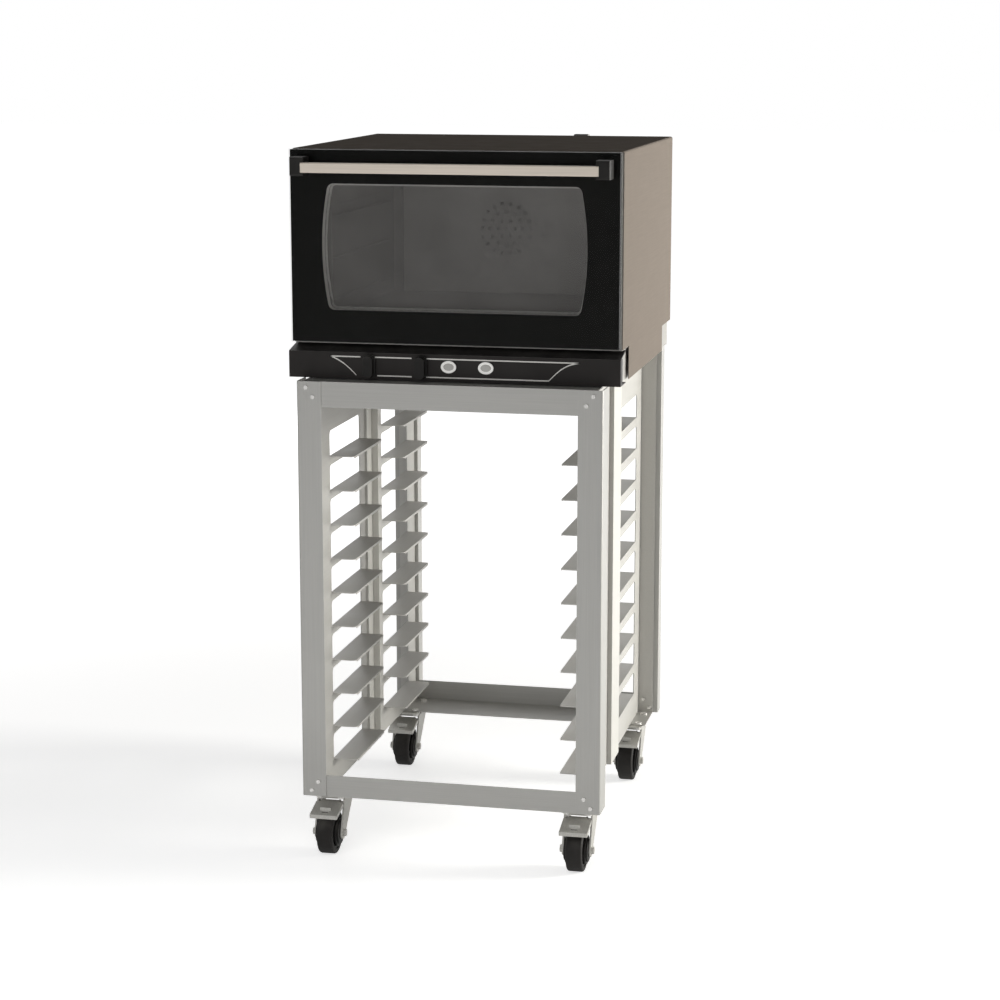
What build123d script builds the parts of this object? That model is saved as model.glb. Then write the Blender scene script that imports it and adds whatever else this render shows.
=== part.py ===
from build123d import *
import math
import os

# A half-size convection oven on its mobile tray stand. Millimetres, +Z up, the
# front faces -Y. X = 0 is the middle, Z = 0 the floor, and Y = 0 lies midway
# between the brake pedals' front edge and the back of the rear legs.

# Stand frame
STAND_WIDTH = 556.0
STAND_DEPTH = 713.5
STAND_TOP = 884.7
STAND_BOTTOM = 113.6
FRAME_SHEET = 2.0
FRAME_BEND = 1.5
FRONT_LEG_FACE = 45.0
FRONT_LEG_SIDE = 53.7
REAR_LEG_FACE = 49.0
REAR_LEG_DEPTH = 30.0
RAIL_LENGTH = 536.0
TOP_RAIL_HEIGHT = 46.0
BOTTOM_RAIL_HEIGHT = 40.0
RAIL_FLANGE = 103.0

# Frame bolts, measured from the outer corner of each leg
BOLT_RADIUS = 2.0
BOLT_HOLE_CLEARANCE = 0.2
BOLT_HEAD_RADIUS = 3.8
BOLT_HEAD_HEIGHT = 2.2
BOLT_NUT_HEIGHT = 3.2
BOLT_OUTER_IN = 17.5
BOLT_OUTER_UP = 11.0
BOLT_INNER_IN = 30.0
BOLT_INNER_UP = 28.0

# Tray racks
RACK_SHEET = 1.5
RACK_FACE = 237.0
TAB_REACH = 46.0
TAB_COUNT = 10
TAB_PITCH = 63.5
TOP_TAB = 739.4
TAB_LIP = 4.0
TAB_CORNER = 8.0
TAB_LENGTH = 200.0
TAB_FROM_END = 60.0
RACK_END_FLANGE = 30.0
RACK_LENGTH = 298.0
POST_FACE = 246.5
POST_REACH = 14.5

# Casters
CASTER_X = 233.0
CASTER_INSET = 61.0
PLATE_WIDTH = 60.0
PLATE_LENGTH = 105.0
PLATE_SHEET = 3.0
PLATE_HOLE_X = 20.0
PLATE_HOLE_Y = 36.0
PLATE_BOLT_RADIUS = 4.0
PLATE_NUT_HEIGHT = 6.0
PLATE_HEAD_RADIUS = 7.0
PLATE_HEAD_HEIGHT = 3.0
SWIVEL_HEAD_RADIUS = 22.0
KING_PIN_RADIUS = 6.0
KING_NUT_RADIUS = 11.5
KING_NUT_HEIGHT = 6.0
RUNNING_CLEARANCE = 0.05
FACE_CLEARANCE = 0.3
FORK_TOP = 103.8
FORK_SHEET = 3.0
FORK_INSIDE = 47.0
FORK_REAR = 24.0
FORK_FRONT = 30.0
FORK_SHOULDER = 12.0
AXLE_BOSS_RADIUS = 12.0
AXLE_RADIUS = 4.0
AXLE_NUT_HEIGHT = 5.0
AXLE_NUT_RADIUS = 7.0
WHEEL_RADIUS = 40.0
WHEEL_TRAIL = 40.7
TYRE_WIDTH = 30.0
TYRE_THICKNESS = 9.0
TYRE_EDGE = 4.0
HUB_RADIUS = 11.0
HUB_SIDE_CLEARANCE = 0.5
WHEEL_WEB = 10.0
WHEEL_RIM = 5.0
GUARD_RADIUS = 26.0
GUARD_FACE = 19.0
GUARD_SHEET = 3.0
PEDAL_WIDTH = 52.0
PEDAL_NECK = 34.0
PEDAL_SHEET = 2.5
PEDAL_LIP = 7.0
PEDAL_REACH = 84.0
PEDAL_REAR = 31.0
PEDAL_SHOULDER = 39.0
PEDAL_REAR_TOP = 99.0
PEDAL_TIP_TOP = 85.0
PEDAL_PIVOT_Y = 26.0
PEDAL_PIVOT_Z = 93.0
PEDAL_PIVOT_RADIUS = 2.5
PEDAL_EAR = 3.0
PAD_FRONT = 54.0
PAD_REAR = 44.0
PAD_BOTTOM = 84.0
PAD_WIDTH = 24.0
TONGUE_AHEAD = 69.0
TONGUE_WIDTH = 20.0
TONGUE_HEIGHT = 6.0
TONGUE_SLOT_WIDTH = 13.0
TONGUE_SLOT_LENGTH = 6.0

# Oven body, measured from the front of the door glass
DOOR_SETBACK = 40.7
OVEN_WIDTH = 600.0
OVEN_TOP = 1293.7
OVEN_REAR = 596.0
CASING_SHEET = 1.2
CASING_FRONT = 28.0
CASING_BEND = 4.0
SKIRT_FRONT = 96.0
SKIRT_REAR = 490.0
REAR_DROP = 935.0
OVEN_UNDERSIDE = 886.7
BASE_WIDTH = 588.0
BASE_FRONT = 50.0
FLOOR_FRONT = 30.0
BASE_SHEET = 1.5
FLOOR_TOP = 947.0
PAD_SIDE = 24.0
OVEN_PAD_X = 200.0
OVEN_PAD_EDGE = 16.0

# Cavity
FRONT_FRAME_FACE = 31.0
FRONT_FRAME_SHEET = 2.0
CAVITY_WIDTH = 477.0
CAVITY_BOTTOM = 992.0
CAVITY_TOP = 1250.0
CAVITY_REAR = 498.0
LINER_SHEET = 1.5
CAVITY_CORNER = 8.0
INSULATION = 26.0
BAFFLE_FACE = 450.0
BAFFLE_WIDTH = 410.0
BAFFLE_EDGE_GAP = 4.0
INTAKE_HOLE = 4.0
INTAKE_RING = 16.0
INTAKE_RINGS = 3
ROTOR_RADIUS = 80.0
ROTOR_BLADES = 10
BLADE_INNER = 50.0
BLADE_DEPTH = 24.0
ROTOR_BACK_GAP = 10.5
ROTOR_SHEET = 1.5
ROTOR_HUB = 12.0
SHAFT_RADIUS = 4.0
SHAFT_LENGTH = 92.0
SHAFT_PORT = 10.0
MOTOR_RADIUS = 42.0
MOTOR_LENGTH = 48.0
MOTOR_STANDOFF = 4.0
MOTOR_STANDOFF_CIRCLE = 36.0
ELEMENT_RADIUS = 105.0
ELEMENT_TUBE = 3.25
ELEMENT_GAP = 30.0
ELEMENT_FROM_REAR = 24.0
LEAD_PORT = 4.0
GUIDE_FRONT = 60.0
GUIDE_REAR = 440.0
GUIDE_LEVELS = 3
GUIDE_FIRST = 1022.0
GUIDE_PITCH = 75.0
GUIDE_LEDGE = 11.0
GUIDE_MARGIN = 18.0
LAMP_Y = 250.0
LAMP_Z = 1217.0
LAMP_RADIUS = 20.0
LAMP_DEPTH = 30.0
LAMP_WALL = 3.0
LAMP_LENS_RIM = 4.0

# Door
DOOR_WIDTH = 597.0
DOOR_BOTTOM = 949.5
DOOR_GLASS = 4.0
GLASS_BEVEL = 0.8
DOOR_BACK = 26.0
DOOR_SHEET = 1.5
DOOR_MARGIN = 1.5
WINDOW_BOTTOM = 1008.5
WINDOW_TOP = 1233.0
WINDOW_CORNER_X = 228.0
WINDOW_MIDDLE_X = 240.0
WINDOW_CORNER = 12.0
PANE_LIP = 4.0
PANE = 4.0
PANE_CLEARANCE = 0.3
GASKET_GAP = 0.4
GASKET_WIDTH = 8.0
GASKET_MARGIN = 7.0
GASKET_CORNER = 16.0
HINGE_Y = 14.0
HINGE_Z = 962.0
HINGE_ARM_X = 276.0
HINGE_ARM = 12.0
HINGE_ARM_RADIUS = 5.5
HINGE_PIN_RADIUS = 4.0
HINGE_PIN_LENGTH = 24.0
HINGE_SLOT_CLEARANCE = 0.5
EAR_REAR = 20.0
EAR_TOP = 970.0

# Handle
HANDLE_STANDOFF = 38.0
BAR_THICKNESS = 13.0
BAR_BOTTOM = 1253.5
BAR_TOP = 1271.5
BAR_EDGE = 2.0
BAR_INSERT = 5.0
SOCKET_CLEARANCE = 0.1
BRACKET_INNER = 261.0
BRACKET_OUTER = 286.0
BRACKET_BOTTOM = 1248.0
BRACKET_TOP = 1281.0
BRACKET_EDGE = 3.0

# Control panel
PANEL_WIDTH = 604.0
PANEL_FACE = 4.3
PANEL_SHEET = 2.0
PANEL_TOP = 934.5
PANEL_REAR = 48.0
PANEL_REAR_TOP = 945.0
PANEL_SIDE = 20.0
CONTROL_Z = 910.6
TIMER_X = -152.0
THERMOSTAT_X = -57.0
KNOB_WIDTH = 23.0
KNOB_HEIGHT = 44.0
KNOB_DEPTH = 18.0
KNOB_EDGE = 3.0
KNOB_GAP = 0.5
SPINDLE_RADIUS = 3.0
SPINDLE_LENGTH = 18.0
SWITCH_WIDTH = 40.0
SWITCH_HEIGHT = 36.0
SWITCH_DEPTH = 28.0
PILOT_X = (-6.8, 60.8)
PILOT_Z = 913.0
PILOT_WIDTH = 28.0
PILOT_HEIGHT = 22.0
PILOT_PROUD = 3.0
PILOT_EDGE = 1.0
PILOT_SHANK = 7.0
PILOT_DEPTH = 14.0

# Back
BACK_SHEET = 1.5
BACK_MARGIN = 0.2
VENT_COLUMNS = 2
VENT_ROWS = 9
VENT_PITCH_X = 150.0
VENT_PITCH_Z = 16.0
VENT_LENGTH = 90.0
VENT_HEIGHT = 5.0
VENT_Z = 1121.0
DUCT_X = 118.0
DUCT_WIDTH = 28.0
DUCT_DEPTH = 20.0
DUCT_BOTTOM = 1236.0
DUCT_TOP = 1296.0
GLAND_X = 220.0
GLAND_Z = 912.0
GLAND_RADIUS = 11.0
GLAND_NUT_RADIUS = 15.0
GLAND_NUT_HEIGHT = 5.0
GLAND_LENGTH = 24.0
GLAND_BORE = 5.0

# Places worked out from the sizes above
pedal_overhang = PEDAL_REACH - CASTER_INSET
stand_front = (pedal_overhang - STAND_DEPTH) / 2
stand_rear = stand_front + STAND_DEPTH
rear_web = stand_rear - REAR_LEG_DEPTH
frame_height = STAND_TOP - STAND_BOTTOM
leg_outer = STAND_WIDTH / 2
rack_bottom = STAND_BOTTOM + FRAME_SHEET
rack_top = STAND_TOP - FRAME_SHEET
rack_height = rack_top - rack_bottom
rack_inner = RACK_FACE - RACK_SHEET / 2
rack_outer = RACK_FACE + RACK_SHEET / 2
front_rack_start = stand_front + 2 * FRAME_SHEET
rear_rack_end = rear_web - FRAME_SHEET
front_rack_end = front_rack_start + RACK_LENGTH
rear_rack_start = rear_rack_end - RACK_LENGTH
door_y = stand_front + DOOR_SETBACK
caster_rows = {"front": stand_front + CASTER_INSET, "rear": rear_web - CASTER_INSET}
sides = {"left": -1, "right": 1}
bolt_points = [(BOLT_OUTER_IN, BOLT_OUTER_UP), (BOLT_INNER_IN, BOLT_INNER_UP)]
cavity_middle = (CAVITY_BOTTOM + CAVITY_TOP) / 2
window_middle = (WINDOW_BOTTOM + WINDOW_TOP) / 2
liner_rear = CAVITY_REAR + LINER_SHEET
casing_inner = OVEN_WIDTH / 2 - CASING_SHEET
insulation_rear = liner_rear + INSULATION
pedal_slope = (PEDAL_REAR_TOP - PEDAL_TIP_TOP) / (PEDAL_REACH - PEDAL_REAR)

os.makedirs("parts", exist_ok=True)


def facing(y):
    """The upright plane at a given Y, drawn in X and Z, with its normal to the front."""
    return Plane.XZ.offset(-y)


def slab(x, y, z, mode=Mode.ADD):
    """Add a box between two limits on each axis to the open part."""
    middle = ((x[0] + x[1]) / 2, (y[0] + y[1]) / 2, (z[0] + z[1]) / 2)
    with Locations(middle):
        Box(abs(x[1] - x[0]), abs(y[1] - y[0]), abs(z[1] - z[0]), mode=mode)


def cut_round_y(points, radius, y_from, y_to):
    """Cut round holes along Y through the open part, at points in X and Z."""
    with BuildSketch(facing(y_from)) as holes:
        with Locations(*points):
            Circle(radius)
    extrude(holes.sketch, amount=-(y_to - y_from), mode=Mode.SUBTRACT)


def finish(builder, name):
    """Name the finished piece and write it."""
    builder.part.label = name
    export_step(builder.part, f"parts/{name}.step")


def pedal_top(ahead):
    """Height of a brake pedal's top face at a distance ahead of the swivel."""
    return PEDAL_REAR_TOP - pedal_slope * (ahead - PEDAL_REAR)


def pedal_band(middle, width, row, ahead, drop, mode=Mode.ADD):
    """Add a band that slopes with the pedal, between two distances ahead of the
    swivel and between two depths under the pedal's top face."""
    near, far = ahead
    with BuildSketch(Plane.YZ.offset(middle - width / 2)) as band:
        with BuildLine() as outline:
            Polyline(
                (row - near, pedal_top(near) - drop[0]),
                (row - far, pedal_top(far) - drop[0]),
                (row - far, pedal_top(far) - drop[1]),
                (row - near, pedal_top(near) - drop[1]),
                close=True,
            )
        make_face(outline.edges())
    extrude(band.sketch, amount=width, mode=mode)


def leg_bolts(side):
    """Bolt centres in X and Z on one side of the frame, bottom pair then top pair."""
    low = [(side * (leg_outer - dx), STAND_BOTTOM + dz) for dx, dz in bolt_points]
    high = [(side * (leg_outer - dx), STAND_TOP - dz) for dx, dz in bolt_points]
    return low + high


bolt_hole = BOLT_RADIUS + BOLT_HOLE_CLEARANCE

# Front legs: angles with the corner outside
for side_name, side in sides.items():
    with BuildPart() as front_leg:
        with BuildSketch(Plane.XY.offset(STAND_BOTTOM)) as section:
            outer = side * leg_outer
            inner = side * (leg_outer - FRAME_SHEET)
            with BuildLine():
                Polyline(
                    (outer, stand_front),
                    (side * (leg_outer - FRONT_LEG_FACE), stand_front),
                    (side * (leg_outer - FRONT_LEG_FACE), stand_front + FRAME_SHEET),
                    (inner, stand_front + FRAME_SHEET),
                    (inner, stand_front + FRONT_LEG_SIDE),
                    (outer, stand_front + FRONT_LEG_SIDE),
                    close=True,
                )
            make_face()
            corners = section.vertices().sort_by_distance((outer, stand_front, 0))
            fillet(corners[0], FRAME_BEND + FRAME_SHEET)
            bends = section.vertices().sort_by_distance((inner, stand_front + FRAME_SHEET, 0))
            fillet(bends[0], FRAME_BEND)
        extrude(amount=frame_height)
        cut_round_y(leg_bolts(side), bolt_hole, stand_front, stand_front + FRAME_SHEET)
    finish(front_leg, f"leg_front_{side_name}")

# Rear legs: channels that open to the back
for side_name, side in sides.items():
    with BuildPart() as rear_leg:
        with BuildSketch(Plane.XY.offset(STAND_BOTTOM)):
            with Locations((side * (leg_outer - REAR_LEG_FACE / 2), (rear_web + stand_rear) / 2)):
                Rectangle(REAR_LEG_FACE, REAR_LEG_DEPTH)
            with Locations(
                (side * (leg_outer - REAR_LEG_FACE / 2), (rear_web + stand_rear + FRAME_SHEET) / 2)
            ):
                Rectangle(
                    REAR_LEG_FACE - 2 * FRAME_SHEET, REAR_LEG_DEPTH - FRAME_SHEET, mode=Mode.SUBTRACT
                )
        extrude(amount=frame_height)
        front_edges = rear_leg.edges().filter_by(Axis.Z).group_by(Axis.Y)[0]
        fillet(front_edges, FRAME_BEND)
        cut_round_y(leg_bolts(side), bolt_hole, rear_web, rear_web + FRAME_SHEET)
    finish(rear_leg, f"leg_rear_{side_name}")

# Rails: angles behind the front legs' faces and in front of the rear legs' webs
frame_bolt_points = leg_bolts(-1) + leg_bolts(1)
caster_bolt_xy = [
    (side * CASTER_X + dx, row + dy)
    for side in sides.values()
    for row in caster_rows.values()
    for dx in (-PLATE_HOLE_X, PLATE_HOLE_X)
    for dy in (-PLATE_HOLE_Y, PLATE_HOLE_Y)
]
rail_places = {
    "front": (stand_front + FRAME_SHEET, 1),
    "rear": (rear_web, -1),
}
for end_name, (face_y, inward) in rail_places.items():
    web = sorted((face_y, face_y + inward * FRAME_SHEET))
    shelf = sorted((face_y, face_y + inward * RAIL_FLANGE))
    half = RAIL_LENGTH / 2
    with BuildPart() as top_rail:
        slab((-half, half), web, (STAND_TOP - TOP_RAIL_HEIGHT, STAND_TOP))
        slab((-half, half), shelf, (STAND_TOP - FRAME_SHEET, STAND_TOP))
        cut_round_y(frame_bolt_points, bolt_hole, *web)
    finish(top_rail, f"top_rail_{end_name}")
    with BuildPart() as bottom_rail:
        slab((-half, half), web, (STAND_BOTTOM, STAND_BOTTOM + BOTTOM_RAIL_HEIGHT))
        slab((-half, half), shelf, (STAND_BOTTOM, STAND_BOTTOM + FRAME_SHEET))
        cut_round_y(frame_bolt_points, bolt_hole, *web)
        with BuildSketch(Plane.XY.offset(STAND_BOTTOM)):
            with Locations(*caster_bolt_xy):
                Circle(PLATE_BOLT_RADIUS + BOLT_HOLE_CLEARANCE)
        extrude(amount=FRAME_SHEET, mode=Mode.SUBTRACT)
    finish(bottom_rail, f"bottom_rail_{end_name}")

# Rack panels: a pierced web, and the tabs that were cut from its windows and
# bent in to carry the trays. Each tab is a solid of its own on the web's face.
tab_tops = [TOP_TAB - level * TAB_PITCH for level in range(TAB_COUNT)]
rack_places = {
    "front": (front_rack_start, front_rack_end, front_rack_start + TAB_FROM_END),
    "rear": (rear_rack_start, rear_rack_end, rear_rack_end - TAB_FROM_END - TAB_LENGTH),
}
for end_name, (rack_start, rack_end, tab_start) in rack_places.items():
    tab_middle = tab_start + TAB_LENGTH / 2
    for side_name, side in sides.items():
        with BuildPart() as rack_web:
            with BuildSketch(Plane.YZ.offset(side * RACK_FACE - RACK_SHEET / 2)) as web_face:
                with Locations(((rack_start + rack_end) / 2, (rack_bottom + rack_top) / 2)):
                    Rectangle(rack_end - rack_start, rack_height)
                for tab_top in tab_tops:
                    with Locations((tab_middle, tab_top + TAB_REACH / 2)):
                        Rectangle(TAB_LENGTH, TAB_REACH, mode=Mode.SUBTRACT)
                for tab_top in tab_tops:
                    for corner_y in (tab_start, tab_start + TAB_LENGTH):
                        corner = (corner_y, tab_top + TAB_REACH, 0)
                        fillet(web_face.vertices().sort_by_distance(corner)[0], TAB_CORNER)
            extrude(amount=RACK_SHEET)
            flange_x = (side * rack_inner, side * (rack_outer + RACK_END_FLANGE))
            post_x = (side * rack_inner, side * POST_FACE)
            front_x = flange_x if end_name == "front" else post_x
            rear_x = post_x if end_name == "front" else flange_x
            slab(front_x, (rack_start, rack_start + RACK_SHEET), (rack_bottom, rack_top))
            slab(rear_x, (rack_end - RACK_SHEET, rack_end), (rack_bottom, rack_top))
            leg_flange_y = rack_start if end_name == "front" else rack_end - RACK_SHEET
            cut_round_y(leg_bolts(side), bolt_hole, leg_flange_y, leg_flange_y + RACK_SHEET)

        tab_root = side * rack_inner
        tab_edge = side * (RACK_FACE - TAB_REACH)
        with BuildPart() as rack_tabs:
            for tab_top in tab_tops:
                with BuildSketch(Plane.XY.offset(tab_top - RACK_SHEET)) as tab_face:
                    with Locations(((tab_root + tab_edge) / 2, tab_middle)):
                        Rectangle(abs(tab_root - tab_edge), TAB_LENGTH)
                    ends = tab_face.vertices().sort_by(Axis.X, reverse=side < 0)[0:2]
                    fillet(ends, TAB_CORNER)
                extrude(amount=RACK_SHEET)
                slab(
                    (tab_edge, tab_edge + side * RACK_SHEET),
                    (tab_start + TAB_CORNER, tab_start + TAB_LENGTH - TAB_CORNER),
                    (tab_top - TAB_LIP, tab_top),
                )

        rack = Compound([rack_web.solid(), *rack_tabs.solids()])
        rack.label = f"rack_{end_name}_{side_name}"
        export_step(rack, f"parts/{rack.label}.step")

# Middle posts: channels that close the gap between the two racks of a side
with BuildPart() as mid_posts:
    for side in sides.values():
        post_inner = POST_FACE - POST_REACH
        for flange_y in (front_rack_end, rear_rack_start - FRAME_SHEET):
            slab(
                (side * post_inner, side * POST_FACE),
                (flange_y, flange_y + FRAME_SHEET),
                (rack_bottom, rack_top),
            )
        slab(
            (side * (POST_FACE - FRAME_SHEET), side * POST_FACE),
            (front_rack_end, rear_rack_start),
            (rack_bottom, rack_top),
        )
finish(mid_posts, "mid_posts")

# Frame bolts clamp leg, rail and rack flange together
bolt_stack = 2 * FRAME_SHEET + RACK_SHEET
with BuildPart() as frame_bolts:
    for head_y, inward in ((stand_front, 1), (rear_web + FRAME_SHEET, -1)):
        nut_y = head_y + inward * bolt_stack
        for x, z in frame_bolt_points:
            with BuildSketch(facing(head_y)):
                with Locations((x, z)):
                    Circle(BOLT_HEAD_RADIUS)
            extrude(amount=inward * BOLT_HEAD_HEIGHT)
            with BuildSketch(facing(head_y)):
                with Locations((x, z)):
                    Circle(BOLT_RADIUS)
            extrude(amount=-inward * (bolt_stack + BOLT_NUT_HEIGHT))
            with BuildSketch(facing(nut_y)):
                with Locations((x, z)):
                    RegularPolygon(BOLT_HEAD_RADIUS, 6)
            extrude(amount=-inward * BOLT_NUT_HEIGHT)
finish(frame_bolts, "frame_bolts")

# Caster plates with their swivel heads and king pins
plate_bottom = STAND_BOTTOM - PLATE_SHEET
fork_under = FORK_TOP - FORK_SHEET
king_nut_top = fork_under - FACE_CLEARANCE
with BuildPart() as caster_plates:
    for side in sides.values():
        for row in caster_rows.values():
            with BuildSketch(Plane.XY.offset(plate_bottom)):
                with Locations((side * CASTER_X, row)):
                    RectangleRounded(PLATE_WIDTH, PLATE_LENGTH, TAB_CORNER)
            extrude(amount=PLATE_SHEET)
            with BuildSketch(Plane.XY.offset(FORK_TOP + FACE_CLEARANCE)):
                with Locations((side * CASTER_X, row)):
                    Circle(SWIVEL_HEAD_RADIUS)
            extrude(amount=plate_bottom - FORK_TOP - FACE_CLEARANCE)
            with BuildSketch(Plane.XY.offset(king_nut_top - KING_NUT_HEIGHT)):
                with Locations((side * CASTER_X, row)):
                    Circle(KING_PIN_RADIUS)
            extrude(amount=plate_bottom - king_nut_top + KING_NUT_HEIGHT)
            with BuildSketch(Plane.XY.offset(king_nut_top - KING_NUT_HEIGHT)):
                with Locations((side * CASTER_X, row)):
                    RegularPolygon(KING_NUT_RADIUS, 6)
            extrude(amount=KING_NUT_HEIGHT)
    with BuildSketch(Plane.XY.offset(plate_bottom)):
        with Locations(*caster_bolt_xy):
            Circle(PLATE_BOLT_RADIUS + BOLT_HOLE_CLEARANCE)
    extrude(amount=PLATE_SHEET, mode=Mode.SUBTRACT)
finish(caster_plates, "caster_plates")

# Caster bolts clamp each plate to the rail's flange
with BuildPart() as caster_bolts:
    for x, y in caster_bolt_xy:
        with BuildSketch(Plane.XY.offset(plate_bottom - PLATE_NUT_HEIGHT)):
            with Locations((x, y)):
                RegularPolygon(PLATE_HEAD_RADIUS, 6)
        extrude(amount=PLATE_NUT_HEIGHT)
        with BuildSketch(Plane.XY.offset(plate_bottom)):
            with Locations((x, y)):
                Circle(PLATE_BOLT_RADIUS)
        extrude(amount=PLATE_SHEET + FRAME_SHEET)
        with BuildSketch(Plane.XY.offset(STAND_BOTTOM + FRAME_SHEET)):
            with Locations((x, y)):
                Circle(PLATE_HEAD_RADIUS)
        extrude(amount=PLATE_HEAD_HEIGHT)
finish(caster_bolts, "caster_bolts")

# Forks, wheels, tyres and brake pedals, which trail towards the front
fork_half = FORK_INSIDE / 2 + FORK_SHEET
rim_radius = WHEEL_RADIUS - TYRE_THICKNESS
for end_name, row in caster_rows.items():
    for side_name, side in sides.items():
        x = side * CASTER_X
        axle_y = row - WHEEL_TRAIL
        pivot_y = row - PEDAL_PIVOT_Y
        corner_name = f"{end_name}_{side_name}"

        with BuildPart() as fork:
            with BuildSketch(Plane.YZ.offset(x - fork_half)):
                with Locations((axle_y, WHEEL_RADIUS)):
                    Circle(AXLE_BOSS_RADIUS)
                with Locations((row + (FORK_REAR - FORK_FRONT) / 2, FORK_TOP - FORK_SHOULDER / 2)):
                    Rectangle(FORK_REAR + FORK_FRONT, FORK_SHOULDER)
                make_hull()
            extrude(amount=2 * fork_half)
            slab(
                (x - FORK_INSIDE / 2, x + FORK_INSIDE / 2),
                (axle_y - WHEEL_RADIUS, row + WHEEL_RADIUS),
                (0, fork_under),
                mode=Mode.SUBTRACT,
            )
            with BuildSketch(Plane.XY.offset(fork_under)):
                with Locations((x, row)):
                    Circle(KING_PIN_RADIUS + RUNNING_CLEARANCE)
            extrude(amount=FORK_SHEET, mode=Mode.SUBTRACT)
            with BuildSketch(Plane.YZ.offset(x - fork_half)):
                with Locations((axle_y, WHEEL_RADIUS)):
                    Circle(AXLE_RADIUS + RUNNING_CLEARANCE)
                with Locations((pivot_y, PEDAL_PIVOT_Z)):
                    Circle(PEDAL_PIVOT_RADIUS + RUNNING_CLEARANCE)
            extrude(amount=2 * fork_half, mode=Mode.SUBTRACT)
            with BuildSketch(Plane.YZ.offset(x - fork_half)):
                with Locations((axle_y, WHEEL_RADIUS)):
                    Circle(AXLE_RADIUS)
            extrude(amount=2 * fork_half)
            for nut_x in (x - fork_half - AXLE_NUT_HEIGHT, x + fork_half):
                with BuildSketch(Plane.YZ.offset(nut_x)):
                    with Locations((axle_y, WHEEL_RADIUS)):
                        RegularPolygon(AXLE_NUT_RADIUS, 6)
                extrude(amount=AXLE_NUT_HEIGHT)
        finish(fork, f"caster_fork_{corner_name}")

        wheel_half = FORK_INSIDE / 2 - HUB_SIDE_CLEARANCE
        rim_half = TYRE_WIDTH / 2 - TYRE_EDGE / 2
        with BuildPart() as wheel:
            with BuildSketch(Plane.YZ.offset(x - rim_half)):
                with Locations((axle_y, WHEEL_RADIUS)):
                    Circle(rim_radius)
                    Circle(rim_radius - WHEEL_RIM, mode=Mode.SUBTRACT)
            extrude(amount=2 * rim_half)
            with BuildSketch(Plane.YZ.offset(x - WHEEL_WEB / 2)):
                with Locations((axle_y, WHEEL_RADIUS)):
                    Circle(rim_radius - WHEEL_RIM / 2)
            extrude(amount=WHEEL_WEB)
            for guard_x in (x - GUARD_FACE, x + GUARD_FACE - GUARD_SHEET):
                with BuildSketch(Plane.YZ.offset(guard_x)):
                    with Locations((axle_y, WHEEL_RADIUS)):
                        Circle(GUARD_RADIUS)
                extrude(amount=GUARD_SHEET)
            with BuildSketch(Plane.YZ.offset(x - wheel_half)):
                with Locations((axle_y, WHEEL_RADIUS)):
                    Circle(HUB_RADIUS)
            extrude(amount=2 * wheel_half)
            with BuildSketch(Plane.YZ.offset(x - wheel_half)):
                with Locations((axle_y, WHEEL_RADIUS)):
                    Circle(AXLE_RADIUS + RUNNING_CLEARANCE)
            extrude(amount=2 * wheel_half, mode=Mode.SUBTRACT)
        finish(wheel, f"caster_wheel_{corner_name}")

        with BuildPart() as tyre:
            with BuildSketch(Plane.YZ.offset(x - TYRE_WIDTH / 2)):
                with Locations((axle_y, WHEEL_RADIUS)):
                    Circle(WHEEL_RADIUS)
                    Circle(rim_radius, mode=Mode.SUBTRACT)
            extrude(amount=TYRE_WIDTH)
            treads = tyre.edges().filter_by(GeomType.CIRCLE).sort_by(SortBy.RADIUS)[-2:]
            fillet(treads, TYRE_EDGE)
        finish(tyre, f"caster_tyre_{corner_name}")

        with BuildPart() as brake:
            pedal_band(x, PEDAL_NECK, row, (PEDAL_REAR, PEDAL_REACH), (0, PEDAL_SHEET))
            pedal_band(x, PEDAL_WIDTH, row, (PEDAL_SHOULDER, PEDAL_REACH), (0, PEDAL_LIP))
            pedal_band(
                x, PEDAL_WIDTH - 2 * PEDAL_SHEET, row,
                (PEDAL_SHOULDER - PEDAL_SHEET, PEDAL_REACH - PEDAL_SHEET),
                (PEDAL_SHEET, 2 * PEDAL_LIP), mode=Mode.SUBTRACT,
            )
            slab(
                (x - TONGUE_SLOT_WIDTH / 2, x + TONGUE_SLOT_WIDTH / 2),
                (row - TONGUE_AHEAD - TONGUE_SLOT_LENGTH, row - TONGUE_AHEAD),
                (PEDAL_TIP_TOP - PEDAL_LIP, PEDAL_REAR_TOP), mode=Mode.SUBTRACT,
            )
            slab(
                (x - TONGUE_WIDTH / 2, x + TONGUE_WIDTH / 2),
                (row - TONGUE_AHEAD, row - TONGUE_AHEAD + PEDAL_SHEET),
                (pedal_top(TONGUE_AHEAD) - PEDAL_SHEET, pedal_top(TONGUE_AHEAD) + TONGUE_HEIGHT),
            )
            ear_drop = 1.5 * PEDAL_SHEET
            for ear_x in (x - PEDAL_NECK / 2, x + PEDAL_NECK / 2 - PEDAL_EAR):
                with BuildSketch(Plane.YZ.offset(ear_x)):
                    with Locations((pivot_y, PEDAL_PIVOT_Z)):
                        Circle(2 * PEDAL_PIVOT_RADIUS)
                    with Locations((row - PEDAL_SHOULDER, pedal_top(PEDAL_SHOULDER) - ear_drop)):
                        Circle(PEDAL_PIVOT_RADIUS)
                    make_hull()
                extrude(amount=PEDAL_EAR)
            with BuildSketch(Plane.YZ.offset(x - fork_half)):
                with Locations((pivot_y, PEDAL_PIVOT_Z)):
                    Circle(PEDAL_PIVOT_RADIUS)
            extrude(amount=2 * fork_half)
            slab(
                (x - PAD_WIDTH / 2, x + PAD_WIDTH / 2),
                (row - PAD_FRONT, row - PAD_REAR),
                (PAD_BOTTOM, pedal_top(PAD_FRONT) - PEDAL_SHEET / 2),
            )
        finish(brake, f"caster_brake_{corner_name}")

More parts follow.
